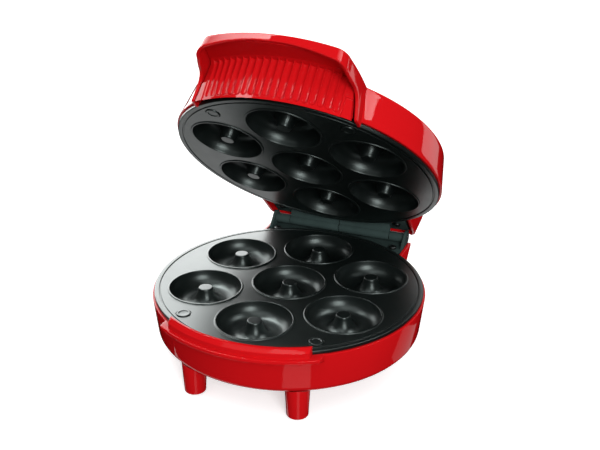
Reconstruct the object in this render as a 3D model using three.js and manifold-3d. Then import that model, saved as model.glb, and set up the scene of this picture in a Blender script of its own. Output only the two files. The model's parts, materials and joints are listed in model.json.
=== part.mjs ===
// Donut maker: two hinged halves with seven ring-shaped baking cavities each.
//
// Millimetres, +Z up, front at -Y. The lid stands open on its hinge in this model.
// Base pieces are drawn with z = 0 on the lower baking face and lid pieces with z = 0 on the upper
// baking face, both about the centre of the plates. The assembly at the end places them.

import * as THREE from 'three';
import { mergeVertices } from 'three/addons/utils/BufferGeometryUtils.js';
import Module from 'manifold-3d';

const wasm = await Module();
wasm.setup();

// ---------------------------------------------------------------- driving dimensions

const PLATE_HEIGHT = 57.2; // table to the lower baking face
const FACE_GAP = 1.6; // between the two baking faces when the lid is shut
const HINGE_Y = 112.9;
const HINGE_Z = -0.7; // above the lower baking face
const REST_OPENING = 44.6; // degrees that the lid is lifted from shut

const PLATE_RADIUS = 101.5;
const PLATE_THICKNESS = 1.8;
const PLATE_SKIRT = 2.6; // depth of the turned-down rim
const GROOVE_RADIUS = 97.5;
const GROOVE_WIDTH = 1.2;
const GROOVE_DEPTH = 0.8;

const CAVITY_RING = 63.4; // centre of the plate to the centre of an outer cavity
const CAVITY_RADIUS = 26.7;
const CAVITY_DEPTH = 11.4;
const CONE_RADIUS = 4.75; // flat top of the cone that makes the donut's hole
const BEAD_WIDTH = 1.7;
const BEAD_HEIGHT = 0.7;
const PAD_RADIUS = 5.3;
const PAD_X = 50.5;
const PAD_Y = -74.3;

const WALL = 2.4; // thickness of the moulded housings
const GAP = 0.3; // left between pieces that touch
const BASE_RIM_RADIUS = 103;
const BASE_RIM_Z = -2.9;
const BASE_FOOT_RADIUS = 100;
const BASE_FLOOR_Z = -34;

const LEG_X = 39.9;
const LEG_Y = 81;
const LEG_END_Z = -56.6;
const LEG_TOP_RADIUS = 9;
const LEG_END_RADIUS = 7.75;
const LEG_WEB_Z = -38;

const NECK_HALF_WIDTH = 63.5;
const HOOD_HALF_WIDTH = 66.5;

const LID_RIM_RADIUS = 103;
const LID_RIM_Z = 2.9;
const LID_SHOULDER_RADIUS = 98.9;
const LID_SHOULDER_Z = 29.6;
const LID_CROWN_Z = 36.5;

const BROW_RADIUS = 131; // front of the handle, from the centre of the plates
const BROW_SIDE = 56; // half-width of the handle at the drum
const BROW_DRAFT = 0.0023; // widening of the handle per millimetre downwards
const BROW_TOP_Z = 30.3; // top of the handle where it leaves the drum
const BROW_RISE = 0.067; // slope of the handle's top
const FLUTE_COUNT = 19;
const FLUTE_WIDTH = 3.6;
const FLUTE_DEPTH = 1.1;
const FLUTE_PITCH = 2.83; // degrees

const ELEMENT_RADIUS = 3.2; // of the heating tube
const ELEMENT_DEPTH = 17.2; // baking face to the middle of the tube
const SHIELD_RADIUS = 82;
const SHIELD_DEPTH = 21.1; // baking face to the near side of the shield
const SHIELD_THICKNESS = 0.8;
const POST_RING = 36.6;
const POST_ANGLES = [0, 120, 240];

const PIN_RADIUS = 2;
const BORE_RADIUS = 2.1;
const BARREL_RADIUS = 4;
const BARREL_START = 0.3;
const BARREL_END = 45;
const COLLAR_START = 45.4;
const EAR_START = 58.3;
const EAR_END = 60.5;
const BOSS_RADIUS = 6.6;
const BRACKET_SCREW_X = 52;
const BRACKET_SCREW_Y = 101;
const TRAY_TOP_Z = -5.6;
const TONGUE_LOW_Z = 5;
const BRACKET_THICKNESS = 2.4;

const GLAND_Z = -26;
const LAMP_X = 9;
const LAMP_Y = -99;

// ---------------------------------------------------------------- materials

function material(color, roughness, metalness) {
  return new THREE.MeshStandardMaterial({ color, roughness, metalness });
}

const redPlastic = material(0xc9141a, 0.18, 0);
const nonStick = material(0x15191a, 0.42, 0.1);
const hingeBlack = material(0x1a1d1e, 0.5, 0.1);
const steel = material(0xb9bcbf, 0.35, 1);
const elementSteel = material(0x7d8285, 0.45, 0.9);
const shieldSheet = material(0xc4c7c9, 0.4, 0.9);
const rubber = material(0x191919, 0.85, 0);
const ceramic = material(0xe9e4da, 0.6, 0);
const brass = material(0xb08d4a, 0.4, 0.9);
const board = material(0x2f5f3a, 0.6, 0);
const redLens = material(0xd5261c, 0.15, 0);
const greenLens = material(0x2fa84a, 0.15, 0);
const leadBrown = material(0x6b3f24, 0.6, 0);
const leadBlue = material(0x2c5c9a, 0.6, 0);

// ---------------------------------------------------------------- shape tools

// Six times the volume that the triangles enclose; negative when they face inwards.
function signedVolume(positions, index) {
  const a = new THREE.Vector3();
  const b = new THREE.Vector3();
  const c = new THREE.Vector3();
  let sum = 0;
  for (let i = 0; i < index.length; i += 3) {
    a.fromArray(positions, 3 * index[i]);
    b.fromArray(positions, 3 * index[i + 1]);
    c.fromArray(positions, 3 * index[i + 2]);
    sum += a.dot(b.cross(c));
  }
  return sum;
}

function solid(geometry) {
  geometry.deleteAttribute('normal');
  geometry.deleteAttribute('uv');
  const merged = mergeVertices(geometry, 1e-4);
  const positions = merged.attributes.position.array;
  const index = [];
  for (let i = 0; i < merged.index.count; i += 3) {
    const [a, b, c] = [0, 1, 2].map((k) => merged.index.getX(i + k));
    if (a !== b && b !== c && c !== a) index.push(a, b, c);
  }
  if (signedVolume(positions, index) < 0) index.reverse();
  const mesh = new wasm.Mesh({
    numProp: 3,
    vertProperties: new Float32Array(positions),
    triVerts: new Uint32Array(index),
  });
  return new wasm.Manifold(mesh);
}

function join(...pieces) {
  return pieces.reduce((sum, piece) => sum.add(piece));
}

function cut(body, ...tools) {
  return tools.reduce((rest, tool) => rest.subtract(tool), body);
}

// Solid of revolution about Z from [radius, z] points that close on the axis or on themselves.
function revolve(profile, segments) {
  const points = profile.map(([r, z]) => new THREE.Vector2(r, z));
  return solid(new THREE.LatheGeometry(points, segments).rotateX(Math.PI / 2));
}

function ring(profile, segments) {
  return revolve([...profile, profile[0]], segments);
}

function outline(points) {
  return new THREE.Shape(points.map(([u, v]) => new THREE.Vector2(u, v)));
}

function prismZ(shape, low, high, curveSegments = 12) {
  const geometry = new THREE.ExtrudeGeometry(shape, {
    depth: high - low,
    bevelEnabled: false,
    curveSegments,
  });
  return geometry.translate(0, 0, low);
}

// A side outline of [y, z] points, drawn out along X.
function prismX(points, low, high) {
  const geometry = prismZ(outline(points), low, high);
  const turn = new THREE.Matrix4().makeBasis(
    new THREE.Vector3(0, 1, 0),
    new THREE.Vector3(0, 0, 1),
    new THREE.Vector3(1, 0, 0),
  );
  return solid(geometry.applyMatrix4(turn));
}

function rodX(radius, low, high, y, z, segments = 20) {
  const geometry = new THREE.CylinderGeometry(radius, radius, high - low, segments);
  return solid(geometry.rotateZ(Math.PI / 2).translate((low + high) / 2, y, z));
}

function rodZ(radius, x, y, low, high, segments = 12) {
  const geometry = new THREE.CylinderGeometry(radius, radius, Math.abs(high - low), segments);
  return solid(geometry.rotateX(Math.PI / 2).translate(x, y, (low + high) / 2));
}

function block([x0, x1], [y0, y1], [z0, z1]) {
  const geometry = new THREE.BoxGeometry(x1 - x0, y1 - y0, z1 - z0);
  return solid(geometry.translate((x0 + x1) / 2, (y0 + y1) / 2, (z0 + z1) / 2));
}

// A round bar along a smooth curve through the given points.
function bar(points, radius, steps, sides = 8) {
  const section = new THREE.Shape();
  section.absarc(0, 0, radius, 0, 2 * Math.PI);
  const extrudePath = new THREE.CatmullRomCurve3(points);
  const settings = { steps, extrudePath, curveSegments: sides / 2 };
  return solid(new THREE.ExtrudeGeometry(section, settings));
}

function polar(radius, degrees, z = 0) {
  const angle = THREE.MathUtils.degToRad(degrees);
  return new THREE.Vector3(radius * Math.cos(angle), radius * Math.sin(angle), z);
}

function mesh(name, body, finish) {
  const data = body.getMesh();
  const geometry = new THREE.BufferGeometry();
  geometry.setAttribute('position', new THREE.BufferAttribute(new Float32Array(data.vertProperties), 3));
  geometry.setIndex(Array.from(data.triVerts));
  const piece = new THREE.Mesh(geometry, finish);
  piece.name = name;
  return piece;
}

// A pan-head screw with its head's underside at z = 0 and its shank along +Z.
function screw(name, headRadius, shankRadius, length) {
  const headHeight = 0.6 * headRadius;
  const profile = [
    [0, -headHeight],
    [0.7 * headRadius, -headHeight],
    [headRadius, -0.4 * headHeight],
    [headRadius, 0],
    [shankRadius, 0],
    [shankRadius, length - shankRadius],
    [0, length],
  ];
  return mesh(name, revolve(profile, 8), steel);
}

// ---------------------------------------------------------------- baking plates

// Centres of the seven cavities: one in the middle and six around it, one of them at the front.
const cavityCentres = [new THREE.Vector3(0, 0, 0)];
for (let k = 0; k < 6; k += 1) cavityCentres.push(polar(CAVITY_RING, 270 + 60 * k));

// Both plates are the same casting turned over: `into` is the direction that the cavities sink.
function plate(into) {
  const at = (points) => points.map(([r, depth]) => [r, into * depth]);
  const segments = 12;
  const shell = 1.8;
  const floorRadius = (CONE_RADIUS + CAVITY_RADIUS) / 2;

  const flange = revolve(at([
    [0, 0],
    [GROOVE_RADIUS - GROOVE_WIDTH / 2, 0],
    [GROOVE_RADIUS - GROOVE_WIDTH / 2, GROOVE_DEPTH],
    [GROOVE_RADIUS + GROOVE_WIDTH / 2, GROOVE_DEPTH],
    [GROOVE_RADIUS + GROOVE_WIDTH / 2, 0],
    [PLATE_RADIUS - 0.4, 0],
    [PLATE_RADIUS, 0.4],
    [PLATE_RADIUS, PLATE_SKIRT],
    [PLATE_RADIUS - 1.8, PLATE_SKIRT],
    [PLATE_RADIUS - 1.8, PLATE_THICKNESS],
    [0, PLATE_THICKNESS],
  ]), 48);

  const underside = revolve(at([
    [0, PLATE_THICKNESS],
    [CONE_RADIUS - 1.8, PLATE_THICKNESS],
    [8.2, 0.9 * CAVITY_DEPTH],
    [floorRadius, CAVITY_DEPTH + shell],
    [23.6, 0.9 * CAVITY_DEPTH],
    [CAVITY_RADIUS + shell, PLATE_THICKNESS],
    [CAVITY_RADIUS, 0.5],
    [0, 0.5],
  ]), segments);

  const trough = ring(at([
    [CONE_RADIUS, -1],
    [CONE_RADIUS, 0],
    [9.4, 0.76 * CAVITY_DEPTH],
    [floorRadius, CAVITY_DEPTH],
    [22.4, 0.76 * CAVITY_DEPTH],
    [CAVITY_RADIUS, 0],
    [CAVITY_RADIUS, -1],
  ]), segments);

  const bead = ring(at([
    [CAVITY_RADIUS, 0.4],
    [CAVITY_RADIUS, -BEAD_HEIGHT],
    [CAVITY_RADIUS + 0.5 * BEAD_WIDTH, -BEAD_HEIGHT],
    [CAVITY_RADIUS + BEAD_WIDTH, 0.4],
  ]), segments);

  let body = flange;
  for (const side of [-1, 1]) {
    body = body.add(rodZ(PAD_RADIUS, side * PAD_X, PAD_Y, -into * BEAD_HEIGHT, into * 0.5, 14));
  }
  for (const centre of cavityCentres) {
    body = body.add(join(underside, bead).translate(centre.x, centre.y, 0));
  }
  for (const centre of cavityCentres) {
    body = body.subtract(trough.translate(centre.x, centre.y, 0));
  }
  return body;
}

// A post on the back of a plate with a blind hole for a screw.
function post(x, y, into, length, radius, hole) {
  const body = rodZ(radius, x, y, into * (PLATE_THICKNESS - 0.3), into * length, 12);
  return { body, bore: rodZ(hole, x, y, into * 3.5, into * (length + 1), 10) };
}

function plateWithPosts(into, corners) {
  const posts = POST_ANGLES.map((angle) => {
    const at = polar(POST_RING, angle);
    return post(at.x, at.y, into, SHIELD_DEPTH - GAP, 3.5, 1.9);
  });
  for (const [x, y] of corners) posts.push(post(x, y, into, 12.2, 4.4, 2.2));
  const body = join(plate(into), ...posts.map((item) => item.body));
  return cut(body, ...posts.map((item) => item.bore));
}

const legPlaces = [
  ['front_left', -LEG_X, -LEG_Y],
  ['front_right', LEG_X, -LEG_Y],
  ['rear_left', -LEG_X, LEG_Y],
  ['rear_right', LEG_X, LEG_Y],
];

const lowerPlate = plateWithPosts(-1, legPlaces.map(([, x, y]) => [x, y]));
const upperPlate = plateWithPosts(1, []);

// ---------------------------------------------------------------- heating

// Open ring of heating tube whose two cold ends turn away from the plate at the back.
function heatingElement(into) {
  const endAngle = 10;
  const points = [];
  const tail = (degrees) => [
    polar(CAVITY_RING, degrees, into * 27),
    polar(CAVITY_RING, degrees, into * 22.5),
  ];
  points.push(...tail(90 + endAngle));
  for (let k = 0; k <= 24; k += 1) {
    const degrees = 90 + endAngle + 4 + (k * (352 - 2 * endAngle)) / 24;
    points.push(polar(CAVITY_RING, degrees, into * ELEMENT_DEPTH));
  }
  points.push(...tail(90 - endAngle).reverse());
  return bar(points, ELEMENT_RADIUS, 48, 6);
}

// Sheet-metal tray that holds the element against the cavities and keeps heat off the housing.
function heatShield(into) {
  const near = into * SHIELD_DEPTH;
  const far = near + into * SHIELD_THICKNESS;
  const lip = near - into * 3.5;
  const tray = revolve([
    [0, far],
    [SHIELD_RADIUS - 2, far],
    [SHIELD_RADIUS, far - into],
    [SHIELD_RADIUS, lip],
    [SHIELD_RADIUS - SHIELD_THICKNESS, lip],
    [SHIELD_RADIUS - SHIELD_THICKNESS, near - into * 0.6],
    [SHIELD_RADIUS - 2.3, near],
    [0, near],
  ], 32);
  const holes = POST_ANGLES.map((angle) => {
    const at = polar(POST_RING, angle);
    return rodZ(2.1, at.x, at.y, near - into, far + into, 8);
  });
  for (const degrees of [80, 100]) {
    const at = polar(CAVITY_RING, degrees);
    holes.push(rodZ(5, at.x, at.y, near - into, far + into, 8));
  }
  return cut(tray, ...holes);
}

function shieldScrews(prefix, into) {
  return POST_ANGLES.map((angle, k) => {
    const piece = screw(`${prefix}_shield_screw_${k + 1}`, 3.4, 1.6, 12);
    const at = polar(POST_RING, angle);
    piece.position.set(at.x, at.y, into * (SHIELD_DEPTH + SHIELD_THICKNESS + GAP));
    if (into > 0) piece.rotation.x = Math.PI;
    return piece;
  });
}

// ---------------------------------------------------------------- base housing and legs

const bowlOutside = [
  [0, BASE_FLOOR_Z],
  [BASE_FOOT_RADIUS - 3.4, BASE_FLOOR_Z],
  [BASE_FOOT_RADIUS - 1, BASE_FLOOR_Z + 1],
  [BASE_FOOT_RADIUS, BASE_FLOOR_Z + 3.5],
  [BASE_RIM_RADIUS, BASE_RIM_Z],
];

function bowl() {
  return revolve([
    ...bowlOutside,
    [BASE_RIM_RADIUS - WALL, BASE_RIM_Z],
    [BASE_FOOT_RADIUS - WALL, BASE_FLOOR_Z + 4],
    [BASE_FOOT_RADIUS - 4.5, BASE_FLOOR_Z + WALL],
    [0, BASE_FLOOR_Z + WALL],
  ], 48);
}

// Ledge at the front that the handle closes over: a raised lip on a wider step.
function frontLedge() {
  const lip = ring([
    [BASE_RIM_RADIUS - 1.1, BASE_RIM_Z - 1],
    [BASE_RIM_RADIUS - 1.1, 3.9],
    [BASE_RIM_RADIUS - 0.5, 4.5],
    [BASE_RIM_RADIUS + 0.5, 4.5],
    [BASE_RIM_RADIUS + 3.8, 1.5],
    [BASE_RIM_RADIUS + 3.8, BASE_RIM_Z - 1],
  ], 96);
  const step = ring([
    [BASE_RIM_RADIUS - 1.1, BASE_RIM_Z - 0.5],
    [BASE_RIM_RADIUS - 1.1, BASE_RIM_Z + 0.5],
    [BASE_RIM_RADIUS + 6.1, BASE_RIM_Z + 0.5],
    [BASE_RIM_RADIUS + 6.5, BASE_RIM_Z],
    [BASE_RIM_RADIUS + 6.5, -5],
    [BASE_RIM_RADIUS - 0.7, -8.6],
  ], 96);
  const lipSpan = block([-53, 53], [-120, -60], [-20, 10]);
  const stepSpan = block([-60, 60], [-120, -60], [-20, 10]);
  return join(lip.intersect(lipSpan), step.intersect(stepSpan));
}

function baseHousing() {
  const neck = prismX([
    [82, -5],
    [115.5, -5],
    [115.5, -7.5],
    [101.5, -21],
    [82, -21],
  ], -NECK_HALF_WIDTH, NECK_HALF_WIDTH);
  const neckInside = prismX([
    [70, 0],
    [113.1, 0],
    [113.1, -6.4],
    [100.5, -18.6],
    [70, -18.6],
  ], WALL - NECK_HALF_WIDTH, NECK_HALF_WIDTH - WALL);
  const bowlInside = revolve([
    [0, BASE_FLOOR_Z + WALL],
    [BASE_FOOT_RADIUS - 4.5, BASE_FLOOR_Z + WALL],
    [BASE_FOOT_RADIUS - WALL, BASE_FLOOR_Z + 4],
    [BASE_RIM_RADIUS - WALL, BASE_RIM_Z],
    [BASE_RIM_RADIUS - WALL, 5],
    [0, 5],
  ], 48);

  const inner = NECK_HALF_WIDTH - WALL;
  const bracketSeat = block([-inner, inner], [100, 125], [TRAY_TOP_Z - BRACKET_THICKNESS - GAP, 5]);

  let body = cut(join(bowl(), neck), neckInside, bowlInside, bracketSeat);
  body = body.add(frontLedge());
  for (const side of [-1, 1]) {
    const x = side * BRACKET_SCREW_X;
    const top = TRAY_TOP_Z - BRACKET_THICKNESS - GAP;
    body = body.add(rodZ(4, x, BRACKET_SCREW_Y - 1.5, -20, top));
    body = body.subtract(rodZ(1.9, x, BRACKET_SCREW_Y - 1.5, -17, top + 1, 10));
  }
  for (const [, x, y] of legPlaces) {
    body = body.add(rodZ(5, x, y, BASE_FLOOR_Z + 1, -12.8));
    body = body.subtract(rodZ(2.3, x, y, BASE_FLOOR_Z - 1, -12, 10));
  }
  const wallRadius = BASE_FOOT_RADIUS;
  const glandHole = new THREE.CylinderGeometry(3.9, 3.9, 12, 16).translate(0, wallRadius, 0);
  return body.subtract(solid(glandHole.translate(0, 0, GLAND_Z)));
}

// A tapered leg, open at the foot, hanging under the floor from its web.
function leg(x, y) {
  const body = ring([
    [2.4, -30],
    [LEG_TOP_RADIUS + 0.2, -30],
    [LEG_END_RADIUS, LEG_END_Z + 0.8],
    [LEG_END_RADIUS - 0.7, LEG_END_Z],
    [6.7, LEG_END_Z],
    [6.7, LEG_END_Z + 2.3],
    [4.6, LEG_END_Z + 2.3],
    [4.6, LEG_WEB_Z],
    [2.4, LEG_WEB_Z],
  ], 18);
  const seat = revolve([
    [0, BASE_FLOOR_Z - GAP],
    [BASE_FOOT_RADIUS - 3.3, BASE_FLOOR_Z - GAP],
    [BASE_FOOT_RADIUS - 0.7, BASE_FLOOR_Z + 0.8],
    [BASE_FOOT_RADIUS + 0.4, BASE_FLOOR_Z + 3.5],
    [BASE_FOOT_RADIUS + 1.1, -25],
    [0, -25],
  ], 48);
  return body.translate(x, y, 0).subtract(seat);
}

function footPad(x, y) {
  const profile = [
    [0, -PLATE_HEIGHT],
    [6, -PLATE_HEIGHT],
    [6.4, -PLATE_HEIGHT + 0.4],
    [6.4, LEG_END_Z + 2],
    [4.2, LEG_END_Z + 2],
    [3.9, LEG_END_Z + 7],
    [0, LEG_END_Z + 7],
  ];
  return revolve(profile, 14).translate(x, y, 0);
}

// ---------------------------------------------------------------- electrical pieces in the base

function cordGland() {
  const profile = [
    [2.7, -5.5],
    [4.4, -5.5],
    [4.4, -3.9],
    [3.6, -3.9],
    [3.6, 0.4],
    [4.6, 0.4],
    [4.6, 2.4],
    [4, 3.2],
    [2.7, 3.2],
  ];
  const body = ring(profile, 16);
  return body.rotate([-90, 0, 0]).translate(0, BASE_FOOT_RADIUS + 0.8, GLAND_Z);
}

function thermostat() {
  const top = -SHIELD_DEPTH - SHIELD_THICKNESS - GAP;
  const profile = [
    [0, top],
    [11, top],
    [11, top - 0.8],
    [8, top - 0.8],
    [8, top - 7],
    [7, top - 8],
    [0, top - 8],
  ];
  return revolve(profile, 20);
}

function thermalFuse() {
  const body = new THREE.CylinderGeometry(2.6, 2.6, 14, 12).translate(5, 37, 0);
  return solid(body.translate(0, 0, -26.5));
}

// Two-pole block standing on the floor with a screw well over each pole.
function terminalBlock() {
  const body = block([-16, 16], [73, 85], [-31.3, -24.5]);
  const wells = [-8, 8].map((x) => rodZ(2.6, x, 79, -28.5, -24, 10));
  return cut(body, ...wells);
}

function lead(points, radius = 1.1) {
  return bar(points.map(([x, y, z]) => new THREE.Vector3(x, y, z)), radius, 10, 6);
}

// ---------------------------------------------------------------- hinge

// Tray, ears and end collars that stay with the base.
function lowerHingeBracket() {
  const trayLow = TRAY_TOP_Z - BRACKET_THICKNESS;
  const parts = [block([-EAR_END, EAR_END], [93.5, 115.2], [trayLow, TRAY_TOP_Z])];
  const bores = [rodX(BORE_RADIUS, -EAR_END - 1, EAR_END + 1, HINGE_Y, HINGE_Z)];
  for (const side of [-1, 1]) {
    const [low, high] = [side * EAR_START, side * EAR_END].sort((a, b) => a - b);
    const [near, far] = [side * COLLAR_START, side * (EAR_START + 0.5)].sort((a, b) => a - b);
    parts.push(rodX(BOSS_RADIUS, low, high, HINGE_Y, HINGE_Z));
    parts.push(rodX(BARREL_RADIUS, near, far, HINGE_Y, HINGE_Z));
    parts.push(prismX([
      [97, trayLow],
      [111.8, trayLow],
      [HINGE_Y + 2, HINGE_Z - 5.6],
      [HINGE_Y - 3.5, HINGE_Z + 5],
    ], low, high));
    bores.push(rodZ(2.1, side * BRACKET_SCREW_X, BRACKET_SCREW_Y - 1.5, -10, 0, 10));
  }
  return cut(join(...parts), ...bores);
}

// Tongue and the two long barrels that turn with the lid, in lid coordinates.
function upperHingeBracket() {
  const axisZ = HINGE_Z - FACE_GAP;
  const tongueTop = TONGUE_LOW_Z + BRACKET_THICKNESS;
  const parts = [block([-60, 60], [93.5, 114.5], [TONGUE_LOW_Z, tongueTop])];
  for (const side of [-1, 1]) {
    const [low, high] = [side * BARREL_START, side * BARREL_END].sort((a, b) => a - b);
    parts.push(rodX(BARREL_RADIUS, low, high, HINGE_Y, axisZ));
    parts.push(prismX([
      [105.2, TONGUE_LOW_Z],
      [HINGE_Y - 3.2, axisZ + 1.6],
      [HINGE_Y + 0.5, axisZ + 3.6],
      [107.5, tongueTop],
      [105.2, tongueTop],
    ], low, high));
  }
  const bores = [rodX(BORE_RADIUS, -60, 60, HINGE_Y, axisZ)];
  for (const side of [-1, 1]) {
    bores.push(rodZ(2.1, side * BRACKET_SCREW_X, BRACKET_SCREW_Y, 0, 12, 10));
  }
  return cut(join(...parts), ...bores);
}

// ---------------------------------------------------------------- lid housing and grip

// Plan of the handle, shrunk by `inset` and widening towards its bottom edge.
function browPlan(inset, low, high) {
  const front = BROW_RADIUS - inset;
  const side = BROW_SIDE - inset;
  const cornerAngle = Math.asin((BROW_SIDE - 9) / BROW_RADIUS);
  const cornerX = front * Math.sin(cornerAngle);
  const cornerY = -front * Math.cos(cornerAngle);
  const shape = new THREE.Shape();
  shape.moveTo(side + 1.5, -60);
  shape.lineTo(side + 1.5, -74);
  shape.lineTo(side - 2.8, -113 + inset);
  shape.quadraticCurveTo(side - 3.6, cornerY + 2, cornerX, cornerY);
  shape.absarc(0, 0, front, cornerAngle - Math.PI / 2, -cornerAngle - Math.PI / 2, true);
  shape.quadraticCurveTo(3.6 - side, cornerY + 2, 2.8 - side, -113 + inset);
  shape.lineTo(-side - 1.5, -74);
  shape.lineTo(-side - 1.5, -60);
  const geometry = prismZ(shape, low, high, 6);
  const positions = geometry.attributes.position;
  for (let i = 0; i < positions.count; i += 1) {
    const widening = 1 + BROW_DRAFT * (LID_SHOULDER_Z - positions.getZ(i));
    positions.setX(i, positions.getX(i) * widening);
  }
  return solid(geometry);
}

function browTopZ(y) {
  return BROW_TOP_Z + BROW_RISE * (-79 - y);
}

// Everything below the handle's sloping top, lowered by `drop`.
function belowBrowTop(drop, low) {
  return prismX([
    [-150, low],
    [-150, browTopZ(-150) - drop],
    [-40, browTopZ(-40) - drop],
    [-40, low],
  ], -90, 90);
}

function brow(inset, low) {
  return browPlan(inset, low, 45).intersect(belowBrowTop(inset, low));
}

// Seen from the side, the hand opening: up the cheek, round the corner and forward along the lip.
function handOpening() {
  const shape = new THREE.Shape();
  shape.moveTo(-90, -6);
  shape.lineTo(-93, 8);
  shape.quadraticCurveTo(-94.5, 18, -103, 18.2);
  shape.quadraticCurveTo(-118, 19.5, -131.5, 27.6);
  shape.lineTo(-150, 27.6);
  shape.lineTo(-150, -6);
  const points = shape.getPoints(5).map((point) => [point.x, point.y]);
  return prismX(points, -90, 90);
}

function lidHousing() {
  const drum = revolve([
    [0, LID_CROWN_Z],
    [40, LID_CROWN_Z - 1.1],
    [75, LID_CROWN_Z - 3.8],
    [LID_SHOULDER_RADIUS - 1.6, LID_SHOULDER_Z + 0.8],
    [LID_SHOULDER_RADIUS, LID_SHOULDER_Z],
    [LID_RIM_RADIUS, LID_RIM_Z],
    [0, LID_RIM_Z],
  ], 48);
  const drumInside = revolve([
    [0, LID_CROWN_Z - WALL],
    [40, LID_CROWN_Z - 1.1 - WALL],
    [75, LID_CROWN_Z - 3.8 - WALL],
    [LID_SHOULDER_RADIUS - WALL, LID_SHOULDER_Z - 1.4],
    [LID_RIM_RADIUS - WALL, LID_RIM_Z],
    [PLATE_RADIUS + 0.4, LID_RIM_Z],
    [PLATE_RADIUS + 0.4, -10],
    [0, -10],
  ], 48);
  const hood = prismX([
    [60, LID_RIM_Z],
    [118, LID_RIM_Z],
    [119.4, 3.6],
    [131.6, 24],
    [129.8, 28],
    [125, 30.2],
    [60, 30.2],
  ], -HOOD_HALF_WIDTH, HOOD_HALF_WIDTH);
  const hoodInside = prismX([
    [55, -10],
    [108, -10],
    [116.8, 4],
    [128.8, 24.1],
    [127.8, 26.2],
    [124.5, 27.8],
    [55, 27.8],
  ], WALL - HOOD_HALF_WIDTH, HOOD_HALF_WIDTH - WALL);

  const inner = HOOD_HALF_WIDTH - WALL;
  const hingeRoom = rodX(BOSS_RADIUS + 0.9, -inner, inner, HINGE_Y, HINGE_Z - FACE_GAP, 24);

  let body = join(drum, hood, brow(0, -1));
  body = cut(body, drumInside, hoodInside, brow(WALL, -10), handOpening(), hingeRoom);
  for (const side of [-1, 1]) {
    const x = side * BRACKET_SCREW_X;
    const low = TONGUE_LOW_Z + BRACKET_THICKNESS + GAP;
    body = body.add(rodZ(4, x, BRACKET_SCREW_Y, low, 29));
    body = body.subtract(rodZ(1.9, x, BRACKET_SCREW_Y, low - 1, 22, 10));
    body = body.subtract(rodZ(4.4, side * LAMP_X, LAMP_Y, 20, 40, 16));
  }
  return body;
}

// Fluted cover between the cheeks: upright at the rim, then curving forward to the lip.
function handleGrip() {
  const lipRadius = BROW_RADIUS - WALL - 0.4;
  const face = [
    [109.4, -1.8],
    [108, 15],
    [110.4, 20],
    [117, 24.6],
    [lipRadius, 27.4],
  ];
  const back = [
    [lipRadius, 29.3],
    [116, 26.4],
    [108.4, 21],
    [105.9, 15],
    [107.3, -1.8],
  ];
  const cover = ring([...face, ...back], 72);
  const groove = ring([
    [109.3 - FLUTE_DEPTH, 0.8],
    [108 - FLUTE_DEPTH, 15],
    [110.4 - 0.7 * FLUTE_DEPTH, 20 + 0.7 * FLUTE_DEPTH],
    [117 - 0.4 * FLUTE_DEPTH, 24.6 + 0.9 * FLUTE_DEPTH],
    [lipRadius - 2, 27.1 + FLUTE_DEPTH],
    [lipRadius - 2, 20],
    [115, 0.8],
  ], 72);
  let body = cover;
  for (let k = 0; k < FLUTE_COUNT; k += 1) {
    const slot = block([-FLUTE_WIDTH / 2, FLUTE_WIDTH / 2], [-140, -100], [-5, 40]);
    const turn = (k - (FLUTE_COUNT - 1) / 2) * FLUTE_PITCH;
    body = body.subtract(groove.intersect(slot.rotate([0, 0, turn])));
  }
  return body.intersect(brow(WALL + GAP, -10));
}

function lampLens() {
  const top = browTopZ(LAMP_Y) + 0.4;
  const profile = [
    [0, top],
    [3, top - 0.1],
    [4, top - 0.8],
    [4, 28.7],
    [5.2, 28.7],
    [5.2, 27.9],
    [3.2, 27.9],
    [3.2, top - 1.4],
    [0, top - 1.2],
  ];
  return revolve(profile, 16);
}

// Circuit board across the front of the lid with a lamp under each lens.
function lampBoard() {
  const sheet = block([-20, 20], [-105, -91], [25.6, 27.2]);
  const lamps = [-LAMP_X, LAMP_X].map((x) => rodZ(2.4, x, LAMP_Y, 27, 29.6));
  return join(sheet, ...lamps);
}

// ---------------------------------------------------------------- assembly

const base = new THREE.Group();
base.add(mesh('base_housing', baseHousing(), redPlastic));
for (const [place, x, y] of legPlaces) {
  const legScrew = screw(`leg_screw_${place}`, 3.6, 1.9, 33);
  legScrew.position.set(x, y, LEG_WEB_Z - GAP);
  base.add(mesh(`leg_${place}`, leg(x, y), redPlastic));
  base.add(mesh(`foot_pad_${place}`, footPad(x, y), rubber));
  base.add(legScrew);
}
base.add(mesh('lower_plate', lowerPlate, nonStick));
base.add(mesh('lower_heating_element', heatingElement(-1), elementSteel));
base.add(mesh('lower_heat_shield', heatShield(-1), shieldSheet));
base.add(...shieldScrews('lower', -1));
base.add(mesh('thermostat', thermostat(), brass));
base.add(mesh('thermal_fuse', thermalFuse(), ceramic));
base.add(mesh('terminal_block', terminalBlock(), ceramic));
base.add(mesh('cord_gland', cordGland(), rubber));
base.add(mesh('live_lead', lead([[-1.3, 95, -25.6], [-4, 91, -26.5], [-8, 85.8, -27.5]]), leadBrown));
base.add(mesh('neutral_lead', lead([[1.3, 95, -25.6], [4, 91, -26.5], [8, 85.8, -27.5]]), leadBlue));
base.add(mesh('thermostat_lead', lead([[-6, 72.6, -27.5], [-3, 40, -27], [-3, 8.8, -26]]), leadBrown));
base.add(mesh('fuse_lead', lead([[6, 72.6, -27.5], [5, 58, -27], [5, 44.4, -26.5]]), leadBlue));
base.add(mesh('lower_hinge_bracket', lowerHingeBracket(), hingeBlack));
base.add(mesh('hinge_pin', rodX(PIN_RADIUS, -EAR_END, EAR_END, HINGE_Y, HINGE_Z), steel));
for (const [hand, side] of [['left', -1], ['right', 1]]) {
  const bracketScrew = screw(`lower_hinge_screw_${hand}`, 3.2, 1.6, 9);
  bracketScrew.rotation.x = Math.PI;
  bracketScrew.position.set(side * BRACKET_SCREW_X, BRACKET_SCREW_Y - 1.5, TRAY_TOP_Z + GAP);
  base.add(bracketScrew);
}

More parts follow.
